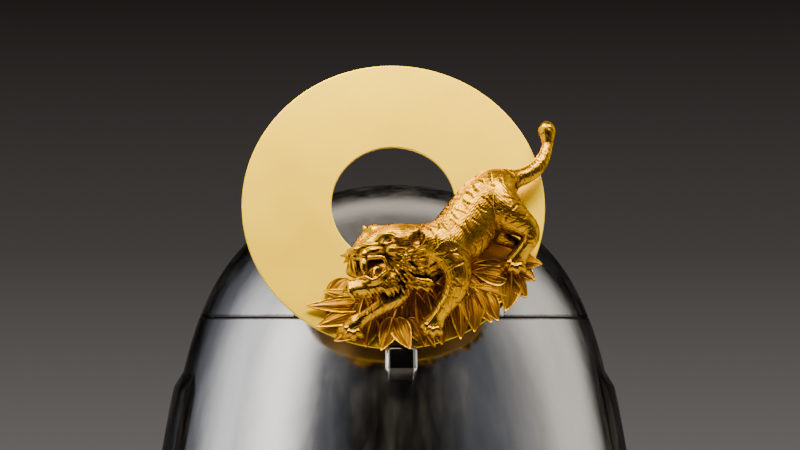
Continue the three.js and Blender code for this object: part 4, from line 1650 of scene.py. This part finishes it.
    MOUTH = [
        [[-2, -30, 15.5, 6, 5], [-9, -31, 16, 5.4, 4.2], [-16, -32, 15, 4.6, 3.8],
         [-20, -32.5, 13, 2.6, 2.6]],
        [[-4, -30.6, 20, 3, 2.2], [-8.6, -32, 21, 3, 2], [-13, -34.6, 20.6, 2, 1.5]],
    ]
    TEETH = [
        [[-14.2, -26.2, 23.2, 2.2, 1.8], [-14.4, -30.5, 23.8, 1.7, 1.5], [-13.6, -34.9, 23.2, 0.5, 0.5]],
        [[-18.6, -27, 20.4, 1.5, 1.4], [-18.2, -31.5, 20.8, 1.1, 1.1], [-17, -35.9, 20.4, 0.4, 0.4]],
        [[-20.4, -27.4, 18.4, 0.9, 0.9], [-20.2, -30.5, 18.4, 0.7, 0.7], [-19.2, -33.6, 18.2, 0.3, 0.3]],
        [[-9.4, -36, 22.4, 1.2, 1.1], [-9.9, -33.2, 22.8, 0.8, 0.8], [-9.6, -31, 22.6, 0.3, 0.3]],
    ]
    EARS = [
        [[-10.5, -14.5, 13, 2.5, 2], [-12.8, -12.6, 12.6, 1.8, 1.4], [-14.3, -10.6, 12.4, 0.6, 0.6]],
        [[7.4, -19.4, 21.6, 4.4, 3.2], [10.2, -16.8, 23.6, 4.6, 3], [12.4, -14.2, 24.2, 3, 2.2]],
    ]
    EAR_HOLLOW = table(BALL_COLUMNS, [[10.2, -16.7, 27.6, 4, 2.7, 3, 52, 0.5]])
    EAR_RIM = [
        [6.8, -19.6, 24.6, 0.8, 0.8], [6.3, -16.7, 26, 0.9, 0.9], [8.7, -13.4, 26.6, 1, 0.9],
        [12.6, -12, 25.8, 1.1, 0.9], [14.7, -14.3, 25, 1, 0.9], [13.5, -18.3, 24.6, 0.9, 0.8],
        [10.8, -20.8, 24, 0.8, 0.7],
    ]
    WHISKERS = [
        [[-19.5, -24.4, 17, 1.4, 1.1], [-22.5, -24.6, 16.4, 1, 0.8], [-25.4, -25.2, 15.6, 0.25, 0.25]],
        [[-20, -26, 16.8, 1.3, 1], [-22, -27.4, 16, 0.9, 0.8], [-23.7, -28.6, 15.2, 0.25, 0.25]],
        [[-19.5, -27.5, 16.4, 1.2, 1], [-21, -29.2, 15.8, 0.9, 0.7], [-22, -31, 15, 0.25, 0.25]],
        [[-17.5, -22.2, 18.5, 1.1, 1], [-20, -21.8, 17.8, 0.8, 0.8], [-22.3, -22.6, 17, 0.25, 0.25]],
    ]
    CHEEK_ARC = [[3.4, -19.8], [4.6, -23.5], [4.2, -27.5], [2, -31.5], [-1.6, -35], [-5, -37]]
    HAIR_TIP = (0.25, 0.25)  # half-width and half-depth where a lock ends

    def place(self, rows: list[list[float]]) -> Array:
        """Turns rows that hold the seen height into rows in the crest's frame."""
        placed = np.array(rows, float)
        placed[:, 1] -= self.sight * placed[:, 2]
        return placed

    def spot(self, x: float, seen: float, rise: float) -> Array:
        """A seen place in the crest's frame."""
        return np.array([x, seen - self.sight * rise, rise])

    def build(self) -> None:
        """Makes and dresses the tiger."""
        dress(self.casting(), ChasedGilt().build(), "deep_gilt", "tiger")

    def limbs(self, clay: Sculpture, parts: list[list[list[float]]], blend: float, steps: int = 5) -> None:
        """Adds a limb for each table of rows."""
        for rows in parts:
            clay.limb(Chain.through(self.place(rows), steps), blend)

    def balls(self, clay: Sculpture, places: dict[str, Array], hollow: bool = False) -> None:
        """Adds or cuts the ellipsoids of a table."""
        for x, seen, rise, wide, long, deep, turn, blend in zip(*places.values()):
            clay.ball(self.spot(x, seen, rise), (wide, long, deep), blend, turn, hollow)

    def masses(self, clay: Sculpture) -> dict[str, Chain]:
        """Adds the body and the limbs.

        Args:
            clay: The model.

        Returns:
            Their chains by name.
        """
        chains = {}
        for name, (blend, rows) in self.BODY_PARTS.items():
            chains[name] = Chain.through(self.place(rows))
            clay.limb(chains[name], blend)
        self.balls(clay, self.MUSCLES)
        return chains

    def head(self, clay: Sculpture) -> None:
        """Adds the skull, muzzle, jaws, mouth, eye, ears, teeth and whisker tufts."""
        self.balls(clay, self.SKULL)
        for blend, rows in self.HEAD_PARTS:
            self.limbs(clay, [rows], blend)
        self.balls(clay, self.HOLLOWS, hollow=True)
        self.balls(clay, self.LUMPS)
        self.limbs(clay, self.MOUTH, 0.8)
        self.limbs(clay, self.RIDGES, 0.6, steps=4)
        self.limbs(clay, self.EARS, 1.0)
        self.balls(clay, self.EAR_HOLLOW, hollow=True)
        self.limbs(clay, [self.EAR_RIM], 0.5, steps=4)
        self.limbs(clay, self.TEETH + self.WHISKERS, 0.3, steps=4)

    def ruff_locks(self, rng: np.random.Generator) -> list[list[list[float]]]:
        """Locks that start on an arc round the cheek, in three layers, and fan out down it.

        Args:
            rng: Source of their unevenness.

        Returns:
            Rows of a limb for each lock.
        """
        locks = []
        arc = np.array(self.CHEEK_ARC)
        for layer in range(3):
            count = 13 - layer
            share = np.linspace(0.0, 1.0, count) + rng.uniform(-0.02, 0.02, count)
            x = np.interp(share, np.linspace(0, 1, len(arc)), arc[:, 0])
            y = np.interp(share, np.linspace(0, 1, len(arc)), arc[:, 1])
            angle = np.radians(-6 - 52 * share + rng.uniform(-5, 5, count))
            way = np.stack([np.cos(angle), np.sin(angle)], -1)
            starts = np.stack([x, y], -1) + way * (2.6 * layer - 0.6)
            reach = rng.uniform(5.2, 7.4, count) * (1 - 0.25 * share)
            for start, run, long, part in zip(starts, way, reach, share):
                size = rng.uniform(0.8, 1.1)
                rise = 24.8 - 1.5 * layer - 2.2 * part
                sag = np.array([0.0, -0.7])
                locks.append([
                    [*start, rise, size, size * 0.9],
                    [*(start + run * long * 0.5 - sag * 0.6), rise + 0.3, size * 0.95, size * 0.9],
                    [*(start + run * long + sag), rise - 1.6, *self.HAIR_TIP],
                ])
        return locks

    def beard_locks(self, rng: np.random.Generator) -> list[list[list[float]]]:
        """One row of long locks that hang from the jaw and swing back, like ruff_locks."""
        locks = []
        for x in np.linspace(-21, -1, 14):
            along = (x + 21) / 20
            y = -38.4 + 2.2 * along + 0.8 * math.sin(np.pi * along)
            drop = rng.uniform(7.0, 9.2)
            size = rng.uniform(0.85, 1.1)
            locks.append([
                [x, y, 21.6, size, size],
                [x + 0.5, y - drop * 0.5, 22.2, size * 1.05, size],
                [x + 2.6 * rng.uniform(0.6, 1.2), y - drop, 20, *self.HAIR_TIP],
            ])
        return locks

    def throat_locks(self, rng: np.random.Generator) -> list[list[list[float]]]:
        """Two rows of short locks over the throat, running down and back, like ruff_locks."""
        locks = []
        for layer in range(2):
            drop = 1.2 * layer
            for x in np.linspace(-3, 15, 11) + rng.uniform(-0.5, 0.5, 11):
                start = np.array([x, -34.6 - 0.16 * x - 2.6 * layer])
                run = np.array([rng.uniform(3, 4.6), -rng.uniform(2.8, 4.6)])
                size = rng.uniform(0.8, 1.1)
                locks.append([
                    [*start, 20.3 - drop, size, size],
                    [*(start + run * 0.5 + [0, 0.4]), 20 - drop, size, size],
                    [*(start + run), 17.6 - drop, *self.HAIR_TIP],
                ])
        return locks

    def tufts(self, clay: Sculpture) -> None:
        """Adds the ruff, the beard and the throat's fur, each lock a thin limb."""
        rng = np.random.default_rng(self.seed)
        self.limbs(clay, self.ruff_locks(rng) + self.beard_locks(rng) + self.throat_locks(rng), 0.3, steps=3)

    def paws(self, clay: Sculpture) -> None:
        """Adds each paw with four toes and their claws, spread round its front."""
        for x, seen, rise, first_deg, last_deg in zip(*self.PAWS.values()):
            middle = np.array([x, seen])
            clay.ball(self.spot(x, seen, rise), (5, 4, 3.8), 1.6)
            for angle in np.radians(np.linspace(first_deg, last_deg, 4)):
                way = np.array([math.cos(angle), math.sin(angle) * 0.92])
                knuckle = middle + way * 3.2
                tip = middle + way * 5.4
                claw = middle + way * 7.4 + [0, -0.9]
                self.limbs(clay, [[
                    [*knuckle, rise + 1.8, 1.9, 2], [*((knuckle + tip) / 2), rise + 1.5, 1.7, 1.8],
                    [*tip, rise - 0.2, 1.8, 1.9],
                ]], 0.3, steps=3)
                self.limbs(clay, [[
                    [*tip, rise - 0.2, 0.8, 0.9], [*((tip + claw) / 2 + [0, 0.2]), rise - 0.6, 0.65, 0.7],
                    [*claw, rise - 2.4, 0.2, 0.2],
                ]], 0.15, steps=3)

    def coat(self, points: Array, chains: dict[str, Chain]) -> tuple[Array, Array, Array]:
        """Works out the coat's own coordinates and its stripes at each vertex.

        Each vertex takes the nearest limb. Its first coordinate is the distance along the
        limb, its second the way round it and its third tells the limbs apart. Both run
        smoothly over a limb's joints, as means weighted by exp(-distance / blend).

        Args:
            points: Vertices in the crest's frame.
            chains: The body's chains by name.

        Returns:
            The flow in millimetres, the stripes from 0 to 1, and the length of the coat,
            which is less on the legs and tail and fades to 0 where two limbs meet.
        """
        count = len(points)
        nearest = np.full(count, np.inf)
        second = np.full(count, np.inf)
        flow = np.zeros((count, 3))
        turn = np.zeros(count)
        radius = np.ones(count)
        for rank, chain in enumerate(chains.values()):
            lengths = chain.lengths()
            closest = np.full(count, np.inf)
            sums = np.zeros((4, count))
            for (a, b), start, end in zip(chain.segments(), lengths[:-1], lengths[1:]):
                distance, share, ra, ru = Chain.measure(*points.T, a, b)
                weight = np.exp(-distance.clip(-6, 30) / self.coat_blend)
                run = start + share * (end - start)
                size = a[3] + (b[3] - a[3]) * share
                sums += weight * np.stack([np.ones(count), run, np.arctan2(ru, ra), size])
                closest = np.minimum(closest, distance)
            run, angle, size = sums[1:] / sums[0]
            better = closest < nearest
            second = np.where(better, nearest, np.minimum(second, closest))
            place = np.stack([run, angle * size, np.full(count, self.APART * rank)], -1)
            flow = np.where(better[:, None], place, flow)
            turn = np.where(better, angle, turn)
            radius = np.where(better, size, radius)
            nearest = np.where(better, closest, nearest)
        stripes = self.stripes(chains, flow, turn, radius)
        short = 0.3 + 0.7 * smooth(3.0, 9.0, radius)
        inner = smooth(0.0, 1.4, second - nearest) * short
        return flow, stripes * (0.3 + 0.7 * short), inner

    def stripes(self, chains: dict[str, Chain], flow: Array, turn: Array, radius: Array) -> Array:
        """The stripes, which cross each limb in four short strokes at every step along it.

        A stroke is as long round the limb as its reach and narrows to both ends. It wavers by
        a sine and slants. Steps, places round the limb, widths and lengths are drawn unevenly.

        Args:
            chains: The body's chains by name.
            flow: The coat's own coordinates.
            turn: The angle round the limb.
            radius: The limb's radius there.

        Returns:
            How deep in a stripe each vertex lies, from 0 to 1.
        """
        rng = np.random.default_rng(self.seed + 1)
        stripes = np.zeros(len(flow))
        for rank, (name, chain) in enumerate(chains.items()):
            own = np.abs(flow[:, 2] - self.APART * rank) < 1
            pitch, offset = self.STRIPES.get(name, (4.0, 0.0))
            for start in np.arange(1.5 + offset, chain.lengths()[-1] - 4, pitch):
                for middle in np.radians([12, 62, 108, 152]) + rng.uniform(-0.16, 0.16, 4):
                    along = start + rng.uniform(-1.1, 1.1)
                    width = rng.uniform(0.4, 0.65)
                    way = (turn - middle) * radius / rng.uniform(3.4, 4.8) / (0.45 + radius / 22)
                    waver = 0.7 * np.sin(way * 2.2 + start) + 0.9 * way
                    taper = smooth(1.05, 0.45, np.abs(way))
                    off = np.abs(flow[:, 0] - along - waver) / (width * (0.3 + 0.7 * taper))
                    stripes = np.maximum(stripes, np.where(own, taper * smooth(1.0, 0.35, off), 0))
        return stripes

    def locks(self, across: Array, along: Array, width: float, length: float) -> Array:
        """Rows of overlapping locks of hair, from 0 in the cuts between them to 1.

        Across a lock the height is a sine. Along it the height grows from its root to its
        tip, where the lock narrows. Every row starts at a place of its own.

        Args:
            across: Coordinate across the locks.
            along: Coordinate along them.
            width: Width of a lock.
            length: Length of a lock.

        Returns:
            The height at each vertex.
        """
        row = np.floor(across / width)
        part = across / width - row
        start = 0.5 + 0.5 * np.sin(row * 12.9898 + 4.1) * np.cos(row * 4.23)
        place = along / length - start
        grow = place - np.floor(place)
        ridge = np.sin(np.pi * part.clip(0, 1)) ** (0.7 + 2.2 * smooth(0.6, 1.0, grow))
        return ridge * (0.35 + 0.65 * smooth(0, 0.7, grow))

    def ruff(self, x: Array, seen: Array) -> tuple[Array, Array]:
        """The ruff's locks, which fan out from the cheek, and where they lie.

        Across the locks goes the angle round the cheek, along them the distance from it.

        Args:
            x: Places across.
            seen: Places up the disc as seen from in front.

        Returns:
            The locks' height and a mask, both from 0 to 1.
        """
        dx, dy = x - self.cheek[0], seen - self.cheek[1]
        reach = np.hypot(dx, dy)
        angle = np.degrees(np.arctan2(dy, dx))
        height = self.locks(angle - 0.9 * reach, reach, self.ruff_width_deg, self.ruff_length)
        ring = smooth(4.8, 6.2, reach) * smooth(19.5, 15.5, reach)
        return height, ring * smooth(24, 12, angle) * smooth(-78, -66, angle)

    @staticmethod
    def hollowness(clay: Sculpture, points: Array, normals: Array) -> Array:
        """How shut in each vertex is, from 0 in the open to 1, which is painted as shade in the hollows
        along with patina.

        At three distances straight out from the surface, the clay's own distance falls short
        by the share that neighbouring forms shut in.

        Args:
            clay: The model.
            points: Vertices.
            normals: Unit normals.

        Returns:
            The weighted mean of the three shares.
        """
        shade = np.zeros(len(points))
        for reach, weight in ((1.2, 0.45), (2.6, 0.35), (5.0, 0.2)):
            shade += weight * np.clip((reach - clay.sample(points + normals * reach)) / reach, 0, 1)
        return shade

    def casting(self) -> Piece:
        """Models, skins and chases the tiger.

        Returns:
            The finished casting, with its recesses and the flow of its coat as values.
        """
        clay = Sculpture((-29, -74, -0.4), (79, 43, 31.2), self.step)
        chains = self.masses(clay)
        self.head(clay)
        self.tufts(clay)
        self.paws(clay)
        floor = GAP - clay.axes[2][None, None, :]
        clay.values = np.maximum(clay.values, floor).astype(np.float32)
        points, quads = clay.skin()
        steps = np.eye(3) * clay.step
        slopes = [clay.sample(points + step) - clay.sample(points - step) for step in steps]
        normals = unit(np.stack(slopes, -1))
        shade = self.hollowness(clay, points, normals)
        flow, stripes, inner = self.coat(points, chains)
        seen = points[:, 1] + self.sight * points[:, 2]
        face = smooth(-1.0, -5.0, points[:, 0]) * smooth(-44, -40, seen)
        gape = smooth(1.25, 0.85, np.hypot((points[:, 0] + 12) / 9, (seen + 31) / 5.5))
        fur = self.locks(flow[:, 1], flow[:, 0], self.fur_width, self.fur_length)
        ruff, mask = self.ruff(points[:, 0], seen)
        fur_share = (1 - mask) * (1 - 0.6 * face) * inner
        striped = stripes * (1 - face) * (1 - mask)
        raised = self.fur_height * (fur - 0.5) * fur_share + self.ruff_height * (ruff - 0.5) * mask
        carved = points - normals * (self.stripe_depth * striped - raised)[:, None]
        cuts = self.fur_dark * (1 - fur) * fur_share + self.ruff_dark * (1 - ruff) * mask
        cuts += self.stripe_dark * striped
        # Painted shade: hollows darken by how shut in they are, as shade and patina, less on the face and in
        # the open mouth; the chased cuts and the stripes add their own dark.
        recess = (0.05 + (1.1 - 0.3 * face) * shade * (1 - 0.45 * gape) + cuts).clip(0, 1)
        whole = Surface(self.frame.to_helmet(carved), quads, values={"recess": recess, "flow": flow})
        return whole.to_object("tiger_casting", sharp_deg=180)


# ---- studio


def bearing(azimuth_deg: float, elevation_deg: float) -> Vector:
    """A unit direction; azimuth 0 is in front of the brow and grows to its right."""
    az, el = math.radians(azimuth_deg), math.radians(elevation_deg)
    return Vector((math.sin(az) * math.cos(el), -math.cos(az) * math.cos(el), math.sin(el)))


@dataclass(frozen=True)
class SoftBox:
    """One rectangular studio light aimed at the helmet."""

    name: str
    azimuth_deg: float
    elevation_deg: float
    distance: float
    width: float
    height: float
    power: float
    colour: str = "ffffff"

    def build(self, target: Vector) -> None:
        """Adds the light, facing the target."""
        arm = bearing(self.azimuth_deg, self.elevation_deg)
        lamp = bpy.data.lights.new(self.name, "AREA")
        lamp.shape = "RECTANGLE"
        lamp.size = self.width
        lamp.size_y = self.height
        lamp.energy = self.power
        lamp.color = linear(self.colour)[:3]
        holder = bpy.data.objects.new(self.name, lamp)
        holder.location = target + arm * self.distance
        holder.rotation_euler = (-arm).to_track_quat("-Z", "Y").to_euler()
        holder.visible_camera = False
        bpy.context.scene.collection.objects.link(holder)


@dataclass(frozen=True)
class SoftWindow:
    """A far panel of diffused light with soft edges, part of the surroundings."""

    azimuth_deg: float
    elevation_deg: float
    half_width_deg: float
    half_height_deg: float
    edge_deg: float
    strength: float
    colour: str = "ffffff"

    def add_to(self, tree: Tree, ray: Socket) -> Socket:
        """Adds the panel's light by direction.

        A direction's places across and up the panel are its dot products with the panel's
        side and up vectors over that with its middle. Each fades smoothly at the panel's
        edge.

        Args:
            tree: The world's node tree.
            ray: The direction socket.

        Returns:
            The colour socket of this panel alone.
        """
        middle = bearing(self.azimuth_deg, self.elevation_deg)
        side = Vector((0, 0, 1)).cross(middle).normalized()
        dot = {"out": "Value", "operation": "DOT_PRODUCT"}
        ahead = add_node(tree, "VectorMath", {0: ray, 1: middle}, **dot)
        total = add_node(tree, "Math", {0: ahead, 1: 0.05}, operation="GREATER_THAN")
        for axis, half in ((side, self.half_width_deg), (middle.cross(side), self.half_height_deg)):
            place = add_node(tree, "VectorMath", {0: ray, 1: axis}, **dot)
            share = add_node(tree, "Math", {0: place, 1: ahead}, operation="DIVIDE")
            size = add_node(tree, "Math", {0: share}, operation="ABSOLUTE")
            fade = add_node(tree, "MapRange", {
                "Value": size,
                "From Min": math.tan(math.radians(min(half + self.edge_deg, 86))),
                "From Max": math.tan(math.radians(max(half - self.edge_deg, 0))),
            }, interpolation_type="SMOOTHSTEP")
            total = add_node(tree, "Math", {0: total, 1: fade}, operation="MULTIPLY")
        tint = Vector(linear(self.colour)[:3]) * self.strength
        return add_node(tree, "VectorMath", {0: tint, "Scale": total}, operation="SCALE")


@dataclass
class Studio:
    """The floor, the dim surroundings with their light panels, the lamps and the camera."""

    axis_y: float = 0.0017  # the bowl's own axis in the frame
    eye_level: float = 0.096
    distance: float = 1.5
    azimuth_deg: float = -1.5
    turn_deg: float = -0.115  # turned a little past the bowl's axis
    pitch_deg: float = 1.757
    lens: float = 135.0
    aim_height: float = 0.11  # where the lamps point
    floor_radius: float = 0.5
    room_glow: float = 0.15  # how much the room itself lights the helmet
    windows: tuple[SoftWindow, ...] = (
        SoftWindow(-68, 24, 13, 26, 13, 3.2, "fffaf4"),
        SoftWindow(-102, 18, 14, 28, 17, 1.8, "f8f8fc"),
        SoftWindow(-134, 14, 9, 30, 9, 0.2, "e8eeff"),
        SoftWindow(-40, 30, 12, 24, 12, 0.17, "e8eeff"),
        SoftWindow(110, 18, 19, 28, 12, 1.2, "fff8ee"),
        SoftWindow(80, 24, 12, 26, 14, 0.4, "fff8ee"),
        SoftWindow(55, 26, 22, 26, 16, 0.16, "e8eeff"),
        SoftWindow(180, 46, 26, 7, 8, 0.9, "fff3e2"),
        SoftWindow(180, 66, 34, 14, 14, 0.3, "fff3e2"),
        SoftWindow(-16, 60, 12, 7, 5, 20, "fff0ce"),
    )
    lamps: tuple[SoftBox, ...] = (
        SoftBox("key_softbox", -30, 64, 0.38, 0.15, 0.12, 1.2, "fffaf0"),
        SoftBox("fill_softbox", 38, 55, 1.1, 0.5, 0.4, 9.0, "ffeed0"),
    )

    def floor(self) -> None:
        """A round sheet of pale paper under the helmet."""
        turn = np.linspace(0, 2 * np.pi, 97)[:-1]
        radii = np.array([0.1, 0.4, 0.7, 1.0]) * self.floor_radius / MM
        x = np.cos(turn)[None, :] * radii[:, None]
        y = np.sin(turn)[None, :] * radii[:, None]
        points = np.stack([x, y, np.zeros_like(x)], -1).reshape(-1, 3)
        quads = grid_quads(len(radii), len(turn), wrap_cols=True)[:, ::-1]
        points = np.concatenate([points, [[0.0, 0.0, 0.0]]])
        j = np.arange(len(turn))
        centre = np.stack([j, (j + 1) % len(turn), np.full(len(turn), len(points) - 1)], -1)
        sheet = Surface(points, quads, centre).to_object("floor_sheet")
        sheet.data.materials.append(StudioFloor().build())

    def surroundings(self) -> None:
        """A dim grey room, lighter low down, with the light panels in it."""
        world = bpy.data.worlds.new("dim studio")
        bpy.context.scene.world = world
        world.use_nodes = True
        tree = world.node_tree
        ray = add_node(tree, "TexCoord", out="Generated")
        height = add_node(tree, "SeparateXYZ", {0: ray}, out=2)
        level = add_node(tree, "MapRange", {"Value": height, "From Min": -0.05, "From Max": 0.11})
        room = add_node(tree, "ValToRGB", {"Fac": level})
        set_stops(room, [(0.0, "6a6663"), (0.45, "45413f"), (1.0, "1f1c1a")])
        total = add_node(tree, "VectorMath", {0: room, "Scale": self.room_glow}, operation="SCALE")
        for window in self.windows:
            total = add_node(tree, "VectorMath", {0: total, 1: window.add_to(tree, ray)})
        path = add_node(tree, "LightPath", out="Is Camera Ray")
        seen = add_node(tree, "Mix", {0: path, 6: total, 7: room}, out=2, data_type="RGBA")
        feed(tree, tree.nodes["Background"], {"Color": seen})

    def camera(self) -> None:
        """The camera in front of the brow, its eye level with the seam."""
        camera = bpy.data.cameras.new("front_camera")
        camera.lens = self.lens
        camera.sensor_width = 36.0
        holder = bpy.data.objects.new("front_camera", camera)
        arm = bearing(self.azimuth_deg, 0) * self.distance
        holder.location = arm + Vector((0, self.axis_y, self.eye_level))
        heading = math.radians(self.azimuth_deg + self.turn_deg)
        holder.rotation_euler = (math.radians(90 + self.pitch_deg), 0, heading)
        bpy.context.scene.collection.objects.link(holder)
        bpy.context.scene.camera = holder

    def build(self) -> None:
        """Sets up the whole studio."""
        self.camera()
        self.floor()
        self.surroundings()
        target = Vector((0.0, 0.0, self.aim_height))
        for lamp in self.lamps:
            lamp.build(target)


# ---- assembly


def main() -> None:
    """Builds every sub-assembly in order."""
    logging.basicConfig(level=logging.INFO, format="%(name)s: %(message)s")
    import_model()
    Studio().build()
    low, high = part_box("lower_plate")
    form = BowlForm(shift=(low.y + high.y) / 2 / MM)
    Bowl(form).build()
    disc_low, disc_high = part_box("crest_disc")
    disc = CrestDisc(CrestFrame(np.zeros(3)))
    lean = math.radians(disc.frame.lean_deg)
    centre_x = (disc_low.x + disc_high.x) / 2 / MM
    centre_z = disc_high.z / MM - disc.radius * math.cos(lean)
    centre_y = disc_high.y / MM - disc.radius * math.sin(lean) - disc.thick * math.cos(lean)
    disc.frame = CrestFrame(np.array([centre_x, centre_y, centre_z]))
    disc.build()
    CrestPost(disc.frame).build()
    BambooLeaves(disc.frame).build()
    Tiger(disc.frame).build()


if __name__ == "__main__":
    main()
